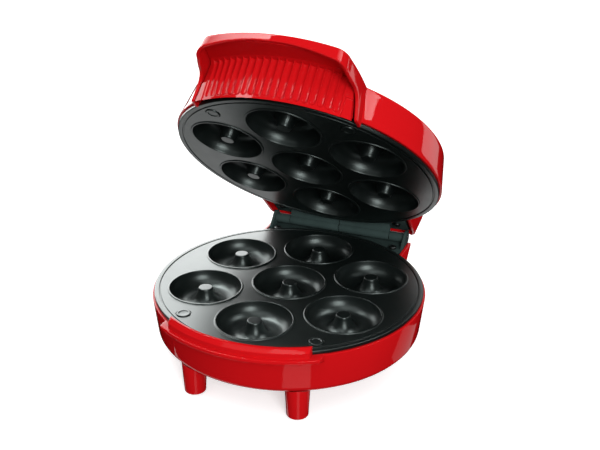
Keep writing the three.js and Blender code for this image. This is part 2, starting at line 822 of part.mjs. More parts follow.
const lid = new THREE.Group();
lid.add(mesh('lid_housing', lidHousing(), redPlastic));
lid.add(mesh('handle_grip', handleGrip(), redPlastic));
lid.add(mesh('upper_plate', upperPlate, nonStick));
lid.add(mesh('upper_heating_element', heatingElement(1), elementSteel));
lid.add(mesh('upper_heat_shield', heatShield(1), shieldSheet));
lid.add(...shieldScrews('upper', 1));
lid.add(mesh('upper_hinge_bracket', upperHingeBracket(), hingeBlack));
lid.add(mesh('lamp_board', lampBoard(), board));
for (const [hand, side, lens, leadColour] of [
  ['left', -1, redLens, leadBrown],
  ['right', 1, greenLens, leadBlue],
]) {
  const lampName = side < 0 ? 'power_lamp_lens' : 'ready_lamp_lens';
  lid.add(mesh(lampName, lampLens().translate(side * LAMP_X, LAMP_Y, 0), lens));
  const route = [[11, 66.8, 25.5], [11, 84, 24.6], [10, 97, 17], [10, 103, 8.4]];
  lid.add(mesh(`lid_lead_${hand}`, lead(route.map(([x, y, z]) => [side * x, y, z])), leadColour));
  const bracketScrew = screw(`upper_hinge_screw_${hand}`, 3.2, 1.6, 12);
  bracketScrew.position.set(side * BRACKET_SCREW_X, BRACKET_SCREW_Y, TONGUE_LOW_Z - GAP);
  lid.add(bracketScrew);
}

// The lid turns about the hinge pin; shut, its face lies FACE_GAP above the base's.
lid.position.set(0, -HINGE_Y, FACE_GAP - HINGE_Z);
const lidPivot = new THREE.Group();
lidPivot.position.set(0, HINGE_Y, HINGE_Z);
lidPivot.rotation.x = -THREE.MathUtils.degToRad(REST_OPENING);
lidPivot.add(lid);

// The origin is on the table, under the middle of the whole appliance.
const group = new THREE.Group();
group.add(base, lidPivot);
group.updateMatrixWorld(true);
const bounds = new THREE.Box3().setFromObject(group, true);
const middle = bounds.getCenter(new THREE.Vector3());
group.position.set(-middle.x, -middle.y, -bounds.min.z);
group.updateMatrixWorld(true);

export default group;
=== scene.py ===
import json
import math

import bmesh
import bpy
import numpy as np
from mathutils import Matrix, Vector
from mathutils.geometry import delaunay_2d_cdt


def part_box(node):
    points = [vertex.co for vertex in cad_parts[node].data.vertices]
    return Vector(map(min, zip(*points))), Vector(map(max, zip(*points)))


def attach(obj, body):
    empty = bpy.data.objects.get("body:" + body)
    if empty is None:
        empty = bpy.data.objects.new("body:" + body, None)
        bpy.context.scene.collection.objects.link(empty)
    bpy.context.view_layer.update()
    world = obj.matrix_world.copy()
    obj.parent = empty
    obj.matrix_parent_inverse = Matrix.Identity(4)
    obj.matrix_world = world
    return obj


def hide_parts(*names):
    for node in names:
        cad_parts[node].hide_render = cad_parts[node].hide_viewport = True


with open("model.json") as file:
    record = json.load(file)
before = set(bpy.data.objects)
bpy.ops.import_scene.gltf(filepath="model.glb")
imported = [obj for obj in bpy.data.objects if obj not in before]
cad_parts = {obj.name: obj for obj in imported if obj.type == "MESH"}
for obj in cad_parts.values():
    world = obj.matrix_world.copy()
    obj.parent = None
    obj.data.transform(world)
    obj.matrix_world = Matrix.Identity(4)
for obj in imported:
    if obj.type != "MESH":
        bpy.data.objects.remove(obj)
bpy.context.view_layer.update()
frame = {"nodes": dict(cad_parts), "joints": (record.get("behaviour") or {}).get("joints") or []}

# Shapes are drawn in millimetres. Base pieces have z = 0 on the lower baking face and lid pieces
# on the upper baking face, both about the centre of the plates, with the front at -y.

BEAD_HEIGHT = 0.7
HINGE_Y = 112.9
HINGE_Z = -0.7
FACE_GAP = 1.6
PLATE_HEIGHT = 57.2

PLATE_RADIUS = 101.5
CAVITY_RING = 63.4
CONE_RADIUS = 4.75
PAD_RADIUS = 5.1
PAD_PLACES = ((-50.5, -74.3), (50.5, -74.3))

WALL = 2.4
GAP = 0.3
BASE_RIM_RADIUS = 103
BASE_RIM_Z = -2.9
BASE_FOOT_RADIUS = 100
BASE_FLOOR_Z = -34
LEG_X = 39.9
LEG_Y = 81
LEG_END_Z = -56.6
NECK_HALF_WIDTH = 63.5

LID_RIM_Z = 2.9
LID_RIM_RADIUS = 103
LID_SHOULDER_Z = 29.6
LID_SHOULDER_RADIUS = 98.9
LID_CROWN_Z = 36.5
HOOD_HALF_WIDTH = 66.5
BROW_RADIUS = 131.9
BROW_DRAFT = 0.0023
FLUTE_COUNT = 19
FLUTE_PITCH = math.radians(2.83)
FLUTE_WIDTH = 4.7
FLUTE_DEPTH = 1.4

PIN_RADIUS = 2
BORE_RADIUS = 2.1
BARREL_RADIUS = 4
BARREL_END = 45
COLLAR_START = 45.4
EAR_START = 58.3
EAR_END = 60.5
BOSS_RADIUS = 6.6
BRACKET_SCREW_X = 52
TRAY_TOP_Z = -5.6
TONGUE_LOW_Z = 5
BRACKET_THICKNESS = 2.4
GLAND_Z = -26
LAMP_X = 9
LAMP_Y = -99

# ---------------- where the CAD has its parts

plate_low, plate_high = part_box("lower_plate")
plate_centre = Vector((0, (plate_low.y + plate_high.y) / 2, plate_high.z - BEAD_HEIGHT / 1000))
hinge = frame["joints"][0]
opening = -math.radians(hinge["range_deg"][0])
hinge_point = plate_centre + Vector((0, HINGE_Y, HINGE_Z)) / 1000

MILLIMETRES = Matrix.Diagonal((0.001, 0.001, 0.001, 1))
IN_BASE = Matrix.Translation(plate_centre) @ MILLIMETRES
IN_LID = (
    Matrix.Translation(hinge_point)
    @ Matrix.Rotation(-opening, 4, "X")
    @ MILLIMETRES
    @ Matrix.Translation((0, -HINGE_Y, FACE_GAP - HINGE_Z))
)

# ---------------- shape tools


def rounded(points, radii, steps=4, closed=True):
    """The polyline with its corners replaced by arcs."""
    corners = [np.array(p, float) for p in points]
    radii = np.broadcast_to(radii, len(corners))
    out = []
    for i, p in enumerate(corners):
        end = not closed and i in (0, len(corners) - 1)
        before, after = corners[i - 1] - p, corners[(i + 1) % len(corners)] - p
        length_a, length_b = np.linalg.norm(before), np.linalg.norm(after)
        half = math.acos(np.clip(before @ after / (length_a * length_b), -1, 1)) / 2
        if end or radii[i] <= 0 or half > math.pi / 2 - 0.01:
            out.append(p)
            continue
        before, after = before / length_a, after / length_b
        run = min(radii[i] / math.tan(half), 0.48 * length_a, 0.48 * length_b)
        radius = run * math.tan(half)
        middle = before + after
        centre = p + middle / np.linalg.norm(middle) * radius / math.sin(half)
        start, stop = p + before * run - centre, p + after * run - centre
        sweep = math.pi - 2 * half
        for k in range(steps + 1):
            f = k / steps
            arc = math.sin((1 - f) * sweep) * start + math.sin(f * sweep) * stop
            out.append(centre + arc / math.sin(sweep))
    return np.array(out)


def smooth_line(points, count):
    """A Catmull-Rom curve through the points."""
    p = np.array(points, float)
    p = np.vstack([2 * p[0] - p[1], p, 2 * p[-1] - p[-2]])
    out = []
    for k in range(count + 1):
        place = k / count * (len(p) - 3)
        i = min(int(place), len(p) - 4)
        t = place - i
        a, b, c, d = p[i : i + 4]
        out.append(
            0.5 * (2 * b + (c - a) * t + (2 * a - 5 * b + 4 * c - d) * t**2 + (3 * b - a - 3 * c + d) * t**3)
        )
    return np.array(out)


def bend(a, b, c, count):
    """Quadratic curve from a to c, pulled towards b, without its first point."""
    t = np.linspace(0, 1, count + 1)[1:, None]
    return (1 - t) ** 2 * np.array(a) + 2 * t * (1 - t) * np.array(b) + t**2 * np.array(c)


def loop_normals(loop):
    """Outward mitre vectors of a closed loop of 2-D points."""
    ahead = np.roll(loop, -1, 0) - loop
    ahead /= np.linalg.norm(ahead, axis=1)[:, None]
    behind = np.roll(ahead, 1, 0)
    turned = [np.stack([d[:, 1], -d[:, 0]], 1) for d in (ahead, behind)]
    x, y = loop.T
    side = np.sign(np.sum(x * np.roll(y, -1) - y * np.roll(x, -1)))
    total = turned[0] + turned[1]
    return side * total / (1 + np.sum(turned[0] * turned[1], 1))[:, None]


def new_mesh(points, faces):
    """A mesh whose faces look outwards."""
    points = np.asarray(points, float)
    mesh = bpy.data.meshes.new("shape")
    mesh.from_pydata(points.tolist(), [], faces)
    mesh.calc_loop_triangles()
    corners = points[np.array([t.vertices[:] for t in mesh.loop_triangles])]
    volume = np.sum(corners[:, 0] * np.cross(corners[:, 1], corners[:, 2]))
    if volume < 0:
        mesh.flip_normals()
    return mesh


def skin(rows, ends):
    """A closed surface over rows of points. ends is "loop", "cap" or "pole"."""
    points, index = [], []
    for row in rows:
        index.append(list(range(len(points), len(points) + len(row))))
        points.extend(row)
    faces = []
    pairs = list(zip(index, index[1:]))
    if ends == "loop":
        pairs.append((index[-1], index[0]))
    for a, b in pairs:
        count = max(len(a), len(b))
        for k in range(count):
            n = (k + 1) % count
            if len(a) == 1:
                faces.append((a[0], b[k], b[n]))
            elif len(b) == 1:
                faces.append((a[k], b[0], a[n]))
            else:
                faces.append((a[k], b[k], b[n], a[n]))
    if ends == "cap":
        faces += [index[0], index[-1][::-1]]
    return new_mesh(points, faces)


def turned(profile, segments):
    """Rows of points for a profile of (radius, z) turned about z."""
    angle = np.arange(segments) * 2 * math.pi / segments
    rows = []
    for r, z in profile:
        if r < 1e-6:
            rows.append(np.array([[0, 0, z]]))
        else:
            height = np.full(segments, float(z))
            rows.append(np.stack([r * np.cos(angle), r * np.sin(angle), height], 1))
    return rows


def lathe(profile, segments=128):
    """A closed profile turned about z, or an open one that starts and ends on the axis."""
    on_axis = profile[0][0] < 1e-6 and profile[-1][0] < 1e-6
    return skin(turned(profile, segments), "pole" if on_axis else "loop")


def end_stations(low, high, edge, between, steps=3):
    """(place, inset) pairs along a prism with rounded ends."""
    rise = [math.radians(90 * k / steps) for k in range(steps + 1)]
    start = [(low + edge * (1 - math.cos(a)), edge * (1 - math.sin(a))) for a in rise]
    middle = [(low + edge + (high - low - 2 * edge) * k / between, 0) for k in range(1, between)]
    stop = [(low + high - x, d) for x, d in reversed(start)]
    return start + middle + stop


def prism(loop, low, high, edge, between=1):
    """A closed (y, z) loop drawn out along x, its end edges rounded."""
    mitre = loop_normals(loop)
    rows = []
    for x, d in end_stations(low, high, edge, between):
        y, z = (loop - mitre * d).T
        rows.append(np.stack([np.full(len(y), x), y, z], 1))
    return skin(rows, "cap")


def rim_block(loop, half_width, edge):
    """A closed (radius, z) loop drawn along the front rim between two planes x = +-half_width."""
    mitre = loop_normals(loop)
    rows = []
    for x, d in end_stations(-half_width, half_width, edge, 60):
        r, z = (loop - mitre * d).T
        rows.append(np.stack([np.full(len(r), x), -np.sqrt(r**2 - x**2), z], 1))
    return skin(rows, "cap")


def rod_x(radius, low, high, y, z, edge=0.3, segments=64):
    """A round bar along x with rounded ends."""
    angle = np.arange(segments) * 2 * math.pi / segments
    loop = np.stack([y + radius * np.cos(angle), z + radius * np.sin(angle)], 1)
    return prism(loop, low, high, edge)


def rod_z(radius, x, y, low, high, segments=40):
    """A round bar along z with sharp ends."""
    low, high = sorted((low, high))
    mesh = lathe([(0, low), (radius, low), (radius, high), (0, high)], segments)
    mesh.transform(Matrix.Translation((x, y, 0)))
    return mesh


def box_loop(y0, y1, z0, z1, radius=0.0):
    """A rectangle in (y, z)."""
    return rounded([(y0, z0), (y1, z0), (y1, z1), (y0, z1)], radius)


def moved(mesh, x=0.0, y=0.0, z=0.0, about_x=0.0):
    """The mesh after a turn about x, in degrees, and a shift."""
    mesh.transform(Matrix.Translation((x, y, z)) @ Matrix.Rotation(math.radians(about_x), 4, "X"))
    return mesh


def combined(mesh, tools, operation):
    """The mesh after a boolean with each tool in turn."""
    work = bpy.data.objects.new("work", mesh)
    bpy.context.scene.collection.objects.link(work)
    helpers = []
    for tool in tools:
        helper = bpy.data.objects.new("tool", tool)
        bpy.context.scene.collection.objects.link(helper)
        helpers.append(helper)
        modifier = work.modifiers.new("step", "BOOLEAN")
        modifier.operation = operation
        modifier.solver = "MANIFOLD"
        modifier.object = helper
    graph = bpy.context.evaluated_depsgraph_get()
    result = bpy.data.meshes.new_from_object(work.evaluated_get(graph))
    for item in [work, *helpers]:
        bpy.data.objects.remove(item)
    if not result.polygons:
        raise RuntimeError("a boolean left nothing")
    return result


def joined(mesh, *tools):
    return combined(mesh, tools, "UNION")


def cut(mesh, *tools):
    return combined(mesh, tools, "DIFFERENCE")


def piece(name, mesh, place, body, material, angle=35):
    """A finished piece that stands for the CAD node of its own name."""
    mesh.transform(place)
    mesh.polygons.foreach_set("use_smooth", [True] * len(mesh.polygons))
    mesh.set_sharp_from_angle(angle=math.radians(angle))
    mesh.materials.clear()
    mesh.materials.append(material)
    mesh.name = name
    item = bpy.data.objects.new(name + "_skin", mesh)
    bpy.context.scene.collection.objects.link(item)
    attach(item, body)
    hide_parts(name)


# ---------------- materials

COAT_ROUGHNESS = 0.06
RED = (0.578, 0.0065, 0.009)
DARK_GREEN = (0.0042, 0.006, 0.0057)
GREENISH = (0.86, 1, 0.97)


def finish(
    name,
    colour,
    roughness,
    metallic=0.0,
    specular=0.5,
    tint=(1.0, 1.0, 1.0),
    tone=0.0,
    tone_size=0.02,
    grain=0.0,
    grain_size=0.0005,
    uneven=0.0,
    coat=0.0,
):
    """A surface with a slow drift of tone, an uneven gloss and a fine grain.

    tone and uneven are shares of the colour and the roughness. Sizes are in metres.
    """
    material = bpy.data.materials.new(name)
    material.use_nodes = True
    nodes, links = material.node_tree.nodes, material.node_tree.links
    shader = nodes["Principled BSDF"]
    shader.inputs["Metallic"].default_value = metallic
    shader.inputs["Specular IOR Level"].default_value = specular
    shader.inputs["Specular Tint"].default_value = (*tint, 1)
    shader.inputs["Coat Weight"].default_value = coat
    shader.inputs["Coat Roughness"].default_value = COAT_ROUGHNESS
    place = nodes.new("ShaderNodeTexCoord")

    def noise(size, detail):
        texture = nodes.new("ShaderNodeTexNoise")
        texture.inputs["Scale"].default_value = 1 / size
        texture.inputs["Detail"].default_value = detail
        links.new(place.outputs["Object"], texture.inputs["Vector"])
        return texture.outputs["Fac"]

    ramp = nodes.new("ShaderNodeValToRGB")
    ramp.color_ramp.elements[0].position = 0.3
    ramp.color_ramp.elements[1].position = 0.7
    ramp.color_ramp.elements[0].color = (*[c * (1 - tone) for c in colour], 1)
    ramp.color_ramp.elements[1].color = (*[min(1, c * (1 + tone)) for c in colour], 1)
    links.new(noise(tone_size, 3), ramp.inputs["Fac"])
    links.new(ramp.outputs["Color"], shader.inputs["Base Color"])

    spread = nodes.new("ShaderNodeMapRange")
    spread.inputs["To Min"].default_value = roughness * (1 - uneven)
    spread.inputs["To Max"].default_value = roughness * (1 + uneven)
    links.new(noise(tone_size / 3, 4), spread.inputs["Value"])
    links.new(spread.outputs["Result"], shader.inputs["Roughness"])

    if grain:
        bump = nodes.new("ShaderNodeBump")
        bump.inputs["Strength"].default_value = 1
        bump.inputs["Distance"].default_value = grain
        links.new(noise(grain_size, 2), bump.inputs["Height"])
        links.new(bump.outputs["Normal"], shader.inputs["Normal"])
    return material


red_plastic = finish(
    "red_plastic", RED, 0.05, specular=0.09, tone=0.03, tone_size=0.05, uneven=0.2,
    grain=0.000002, grain_size=0.004,
)
coating = finish(
    "non_stick_coating", DARK_GREEN, 0.34, tint=GREENISH, tone=0.12, tone_size=0.03, uneven=0.15,
    grain=0.00001, grain_size=0.0006,
)
enamel = finish(
    "hinge_enamel", (0.038, 0.059, 0.056), 0.5, specular=0, tone=0.1, tone_size=0.01, uneven=0.2,
    grain=0.00001, grain_size=0.0005,
)
blackened = finish(
    "blackened_steel", (0.05, 0.055, 0.055), 0.45, metallic=1, tone=0.08, tone_size=0.004, uneven=0.2,
    grain=0.000008, grain_size=0.0005,
)
zinc = finish(
    "zinc_steel", (0.55, 0.56, 0.58), 0.32, metallic=1, tone=0.08, tone_size=0.002, uneven=0.3,
    grain=0.00001, grain_size=0.0004,
)
element_steel = finish(
    "element_steel", (0.16, 0.165, 0.17), 0.45, metallic=1, tone=0.25, tone_size=0.006, uneven=0.3,
    grain=0.00001, grain_size=0.0006,
)
shield_sheet = finish(
    "shield_sheet", (0.62, 0.63, 0.65), 0.38, metallic=1, tone=0.06, tone_size=0.008, uneven=0.3,
    grain=0.000008, grain_size=0.0008,
)
rubber = finish(
    "black_rubber", (0.012, 0.012, 0.012), 0.75, tone=0.2, tone_size=0.004, uneven=0.1,
    grain=0.00003, grain_size=0.0008,
)
brass = finish(
    "thermostat_brass", (0.45, 0.29, 0.09), 0.35, metallic=1, tone=0.12, tone_size=0.004,
    uneven=0.3, grain=0.000008, grain_size=0.0006,
)
ceramic = finish(
    "ceramic", (0.78, 0.75, 0.67), 0.55, tone=0.05, tone_size=0.004, uneven=0.2,
    grain=0.00002, grain_size=0.0007,
)
board_green = finish(
    "board_green", (0.02, 0.11, 0.045), 0.4, tone=0.2, tone_size=0.002, uneven=0.2,
    grain=0.00001, grain_size=0.0006,
)
red_lens = finish(
    "red_lens", (0.45, 0.012, 0.01), 0.08, tone=0.1, tone_size=0.002, uneven=0.2, coat=0.6,
    grain=0.000002, grain_size=0.001,
)
green_lens = finish(
    "green_lens", (0.02, 0.3, 0.05), 0.08, tone=0.1, tone_size=0.002, uneven=0.2, coat=0.6,
    grain=0.000002, grain_size=0.001,
)
brown_lead = finish(
    "brown_insulation", (0.12, 0.045, 0.02), 0.5, tone=0.1, tone_size=0.003, uneven=0.2,
    grain=0.00001, grain_size=0.0006,
)
blue_lead = finish(
    "blue_insulation", (0.02, 0.08, 0.28), 0.5, tone=0.1, tone_size=0.003, uneven=0.2,
    grain=0.00001, grain_size=0.0006,
)

# ---------------- baking plates

CASTING = 1.8
CAVITY_SEGMENTS = 96
PAD_SEGMENTS = 48
HOLE_RADIUS = 29.4
UNDER_HOLE_RADIUS = 30.2
PAD_HOLE_RADIUS = 5.95
SHEET_RADIUS = 95.9
RIM_SEGMENTS = 256

# Round posts under a plate: radius, radius of the screw hole and length.
SHIELD_POST_RING = 36.6
SHIELD_POST = (3.5, 1.9, 20.8)
LEG_POST = (4.4, 2.2, 12.2)

leg_places = [(x, y) for x in (-LEG_X, LEG_X) for y in (-LEG_Y, LEG_Y)]
cavity_places = [(0.0, 0.0)] + [
    (CAVITY_RING * math.cos(math.radians(a)), CAVITY_RING * math.sin(math.radians(a)))
    for a in range(270, 630, 60)
]

cavity_profile = np.vstack([
    [(HOLE_RADIUS, 0)],
    rounded(
        [(28.95, 0), (28.35, 0), (28.1, BEAD_HEIGHT), (26.95, BEAD_HEIGHT), (26.7, -0.6)],
        [0, 0.35, 0.3, 0.4, 0], 4, closed=False,
    ),
    smooth_line(
        [
            (26.62, -1.2), (25.9, -3.9), (24, -7.3), (20.6, -10.2), (15.8, -11.4),
            (11.8, -10.7), (8.9, -8.6), (7, -5.7), (5.95, -3), (5.45, -0.95),
        ],
        36,
    ),
    rounded(
        [(5.3, -0.6), (CONE_RADIUS + 0.2, 0), (CONE_RADIUS - 0.8, 0), (0, 0)],
        [0, 0.5, 0, 0], 4, closed=False,
    ),
])

under_profile = np.vstack([
    [(UNDER_HOLE_RADIUS, -CASTING)],
    smooth_line(
        [
            (29.6, -CASTING), (28.7, -2.2), (27.7, -4.6), (25.5, -8.8), (21.4, -12.1), (15.8, -13.3),
            (10.9, -12.2), (7.7, -9.3), (5.7, -6), (4.3, -3.4), (3.4, -2), (2.8, -CASTING),
        ],
        30,
    ),
    [(0, -CASTING)],
])

pad_profile = np.vstack([
    [(PAD_HOLE_RADIUS, 0)],
    rounded(
        [
            (PAD_RADIUS + 0.7, 0), (PAD_RADIUS + 0.5, -0.5), (PAD_RADIUS, -0.5),
            (PAD_RADIUS - 0.2, BEAD_HEIGHT), (3.7, BEAD_HEIGHT), (3.3, 0.25), (0, 0.25),
        ],
        [0, 0.1, 0.1, 0.35, 0.2, 0.2, 0], 3, closed=False,
    ),
])

rim_profile = np.vstack([
    [(SHEET_RADIUS, 0)],
    rounded(
        [
            (96.6, 0), (96.9, 0), (97, -0.8), (98, -0.8), (98.1, 0), (PLATE_RADIUS, 0),
            (PLATE_RADIUS, -2.6), (PLATE_RADIUS - 1.8, -2.6), (PLATE_RADIUS - 1.8, -CASTING), (99, -CASTING),
        ],
        [0, 0.2, 0.3, 0.3, 0.2, 0.7, 0.3, 0.3, 0.2, 0], 4, closed=False,
    ),
    [(98.2, -CASTING)],
])


def circle(x, y, radius, segments):
    """Points of a circle in plan."""
    angle = np.arange(segments) * 2 * math.pi / segments
    return np.stack([x + radius * np.cos(angle), y + radius * np.sin(angle)], 1)


def flat_sheet(outer, holes, z):
    """Triangles between an outer loop and the loops inside it, at one height."""
    points, edges = [], []
    for loop in [outer, *holes]:
        start = len(points)
        count = len(loop)
        points.extend(Vector(p) for p in loop)
        edges.extend((start + k, start + (k + 1) % count) for k in range(count))
    found = delaunay_2d_cdt(points, edges, [], 1, 1e-6)
    corners = np.array([p[:] for p in found[0]])
    middles = corners[np.array(found[2])].mean(1)
    keep = np.ones(len(middles), bool)
    for loop in holes:
        centre = loop.mean(0)
        reach = np.linalg.norm(loop[0] - centre)
        keep &= np.linalg.norm(middles - centre, axis=1) > reach * 0.999
    faces = [tuple(f) for f, kept in zip(found[2], keep) if kept]
    return [(x, y, z) for x, y in corners], faces


def open_rows(rows):
    """Points and faces over rows of points that don't close on themselves."""
    points, faces, start = [], [], 0
    for row in rows:
        points.extend(map(tuple, row))
    for a, b in zip(rows, rows[1:]):
        after = start + len(a)
        for k in range(len(a)):
            n = (k + 1) % len(a)
            if len(b) == 1:
                faces.append((start + k, start + n, after))
            else:
                faces.append((start + k, start + n, after + n, after + k))
        start = after
    return points, faces


def plate_shape():
    """A plate without its posts, its baking face upwards at z = 0."""
    parts = []
    holes, under_holes = [], []
    for x, y in cavity_places:
        offset = np.array([x, y, 0])
        parts.append(open_rows([row + offset for row in turned(cavity_profile, CAVITY_SEGMENTS)]))
        parts.append(open_rows([row + offset for row in turned(under_profile, CAVITY_SEGMENTS)]))
        holes.append(circle(x, y, HOLE_RADIUS, CAVITY_SEGMENTS))
        under_holes.append(circle(x, y, UNDER_HOLE_RADIUS, CAVITY_SEGMENTS))
    for x, y in PAD_PLACES:
        offset = np.array([x, y, 0])
        parts.append(open_rows([row + offset for row in turned(pad_profile, PAD_SEGMENTS)]))
        holes.append(circle(x, y, PAD_HOLE_RADIUS, PAD_SEGMENTS))
    parts.append(open_rows(turned(rim_profile, RIM_SEGMENTS)))
    parts.append(flat_sheet(circle(0, 0, rim_profile[0][0], RIM_SEGMENTS), holes, 0))
    parts.append(flat_sheet(circle(0, 0, rim_profile[-1][0], RIM_SEGMENTS), under_holes, -CASTING))

    points, faces = [], []
    for part_points, part_faces in parts:
        start = len(points)
        points.extend(part_points)
        faces.extend(tuple(start + i for i in f) for f in part_faces)
    mesh = bpy.data.meshes.new("plate")
    mesh.from_pydata(points, [], faces)
    sew(mesh)
    return mesh


def sew(mesh):
    """Joins the parts where their edges meet and turns every face outwards."""
    work = bmesh.new()
    work.from_mesh(mesh)
    bmesh.ops.remove_doubles(work, verts=work.verts, dist=0.002)
    bmesh.ops.recalc_face_normals(work, faces=work.faces)
    if work.calc_volume(signed=True) < 0:
        bmesh.ops.reverse_faces(work, faces=work.faces)
    work.to_mesh(mesh)
    work.free()


def plate(lower):
    """The lower plate, or the upper one, which is the same casting turned over without the leg posts."""
    mesh = plate_shape()
    around = [math.radians(a) for a in (0, 120, 240)]
    posts = [(SHIELD_POST_RING * math.cos(a), SHIELD_POST_RING * math.sin(a), *SHIELD_POST) for a in around]
    if lower:
        posts += [(x, y, *LEG_POST) for x, y in leg_places]
    mesh = joined(mesh, *[rod_z(r, x, y, -1.5, -length) for x, y, r, _, length in posts])
    mesh = cut(mesh, *[rod_z(hole, x, y, -3.5, -length - 1, 24) for x, y, _, hole, length in posts])
    if not lower:
        mesh.transform(Matrix.Diagonal((1, 1, -1, 1)))
        mesh.flip_normals()
    return mesh


piece("lower_plate", plate(True), IN_BASE, "base", coating, angle=50)
piece("upper_plate", plate(False), IN_LID, "lid", coating, angle=50)

# ---------------- base housing and legs

BASE_EDGE = 5.6
BOWL_SEGMENTS = 256
LOWER_SCREW_Y = 99.5
UPPER_SCREW_Y = 101
BOSS_HOLE_RADIUS = 1.9

def base_bowl():
    """The red bowl, without its ledge and neck."""
    section = rounded(
        [
            (0, BASE_FLOOR_Z), (BASE_FOOT_RADIUS - 0.4, BASE_FLOOR_Z), (BASE_RIM_RADIUS, BASE_RIM_Z),
            (BASE_RIM_RADIUS - WALL, BASE_RIM_Z), (BASE_FOOT_RADIUS - WALL - 0.4, BASE_FLOOR_Z + WALL),
            (0, BASE_FLOOR_Z + WALL),
        ],
        [0, BASE_EDGE, 0.5, 0.3, 2, 0], 6, closed=False,
    )
    return lathe(section, BOWL_SEGMENTS)


def bowl_room():
    """The space inside the bowl."""
    inside = BASE_RIM_RADIUS - WALL - 0.05
    return lathe(
        [
            (0, BASE_FLOOR_Z + WALL + 0.01), (BASE_FOOT_RADIUS - WALL - 2.4, BASE_FLOOR_Z + WALL + 0.01),
            (BASE_FOOT_RADIUS - WALL - 0.3, BASE_FLOOR_Z + 6), (inside, BASE_RIM_Z), (inside, 5), (0, 5),
        ],
        BOWL_SEGMENTS,
    )


def front_ledge():
    """The two steps that the handle closes over: an upright lip and a wider one below it."""
    lip = rounded(
        [(101.9, -3.9), (101.9, 4.5), (103.6, 4.5), (106.8, 1.6), (106.8, -3.9)],
        [0, 0.5, 0.6, 0.7, 0],
    )
    step = rounded(
        [(101.9, -3.4), (101.9, -2.4), (109.5, -2.4), (109.5, -5), (102.3, -8.6)],
        [0, 0, 0.6, 0.6, 0],
    )
    return rim_block(lip, 53, 0.6), rim_block(step, 60, 0.6)


def base_housing():
    """The bowl with its ledge, the neck that carries the hinge, and the bosses for the screws."""
    neck = prism(
        rounded([(82, -5), (115.5, -5), (115.5, -7.5), (101.5, -21), (82, -21)], [0, 1, 1, 2, 0]),
        -NECK_HALF_WIDTH, NECK_HALF_WIDTH, 0.8,
    )
    inner = NECK_HALF_WIDTH - WALL
    neck_room = prism(
        np.array([(70, 0), (113.1, 0), (113.1, -6.4), (100.5, -18.6), (70, -18.6)]), -inner, inner, 0.2
    )
    seat_z = TRAY_TOP_Z - BRACKET_THICKNESS - GAP
    seat = prism(box_loop(100, 125, seat_z, 5), -inner, inner, 0.01)
    mesh = cut(joined(base_bowl(), neck), neck_room, bowl_room(), seat)
    screws = [(side * BRACKET_SCREW_X, LOWER_SCREW_Y) for side in (-1, 1)]
    mesh = joined(
        mesh, *front_ledge(),
        *[rod_z(4, x, y, -20, seat_z) for x, y in screws],
        *[rod_z(5, x, y, BASE_FLOOR_Z + 1, -12.8) for x, y in leg_places],
    )
    gland_hole = moved(rod_z(3.9, 0, 0, -6, 6), 0, BASE_FOOT_RADIUS, GLAND_Z, about_x=90)
    return cut(
        mesh, gland_hole,
        *[rod_z(BOSS_HOLE_RADIUS, x, y, -17, seat_z + 1, 24) for x, y in screws],
        *[rod_z(2.3, x, y, BASE_FLOOR_Z - 1, -12, 24) for x, y in leg_places],
    )


def leg(x, y):
    """A tapered tube with a rim round its end, its top cut to the bowl's underside."""
    body = lathe(
        rounded(
            [
                (2.4, -30), (9.2, -30), (7.75, LEG_END_Z), (6.7, LEG_END_Z),
                (6.7, LEG_END_Z + 2.3), (4.6, LEG_END_Z + 2.3), (4.6, -38), (2.4, -38),
            ],
            [0, 0, 0.9, 0.15, 0, 0, 0, 0], 4,
        ),
        96,
    )
    seat = lathe(
        rounded(
            [
                (0, BASE_FLOOR_Z - GAP), (BASE_FOOT_RADIUS, BASE_FLOOR_Z - GAP),
                (BASE_FOOT_RADIUS + 1, -25), (0, -25),
            ],
            [0, BASE_EDGE + 0.2, 0, 0], 6, closed=False,
        ),
        192,
    )
    return cut(moved(body, x, y), seat)


def foot_pad(x, y):
    """A rubber plug in the end of a leg."""
    mesh = lathe(
        rounded(
            [
                (0, -PLATE_HEIGHT), (6.4, -PLATE_HEIGHT), (6.4, LEG_END_Z + 2),
                (4.2, LEG_END_Z + 2), (3.9, LEG_END_Z + 7), (0, LEG_END_Z + 7),
            ],
            [0, 0.4, 0.2, 0.2, 0.6, 0], 3, closed=False,
        ),
        64,
    )
    return moved(mesh, x, y)


piece("base_housing", base_housing(), IN_BASE, "base", red_plastic)
for front, y in (("front", -LEG_Y), ("rear", LEG_Y)):
    for side, x in (("left", -LEG_X), ("right", LEG_X)):
        piece(f"leg_{front}_{side}", leg(x, y), IN_BASE, "base", red_plastic)
        piece(f"foot_pad_{front}_{side}", foot_pad(x, y), IN_BASE, "base", rubber)

gland = lathe(
    rounded(
        [
            (2.7, -5.5), (4.4, -5.5), (4.4, -3.9), (3.6, -3.9), (3.6, 0.4),
            (4.6, 0.4), (4.6, 2.4), (4, 3.2), (2.7, 3.2),
        ],
        0.25, 3,
    ),
    64,
)
piece(
    "cord_gland", moved(gland, 0, BASE_FOOT_RADIUS + 0.8, GLAND_Z, about_x=-90),
    IN_BASE, "base", rubber,
)

# ---------------- hinge


def screw_shape(head_radius, shank_radius, length):
    """A pan-head screw with a cross recess, its head below z = 0 and its shank above."""
    height = 0.6 * head_radius
    body = lathe(
        rounded(
            [
                (0, -height), (head_radius, -height), (head_radius, 0), (shank_radius, 0),
                (shank_radius, length - shank_radius), (0, length),
            ],
            [0, 0.7 * height, 0.2, 0.2, 0.2, 0], 4, closed=False,
        ),
        48,
    )
    wide, thin, deep = 0.55 * head_radius, 0.11 * head_radius, 0.6 * height
    across = prism(box_loop(-thin, thin, -height - 1, deep - height), -wide, wide, 0.05)
    along = prism(box_loop(-wide, wide, -height - 1, deep - height), -thin, thin, 0.05)
    return cut(body, across, along)


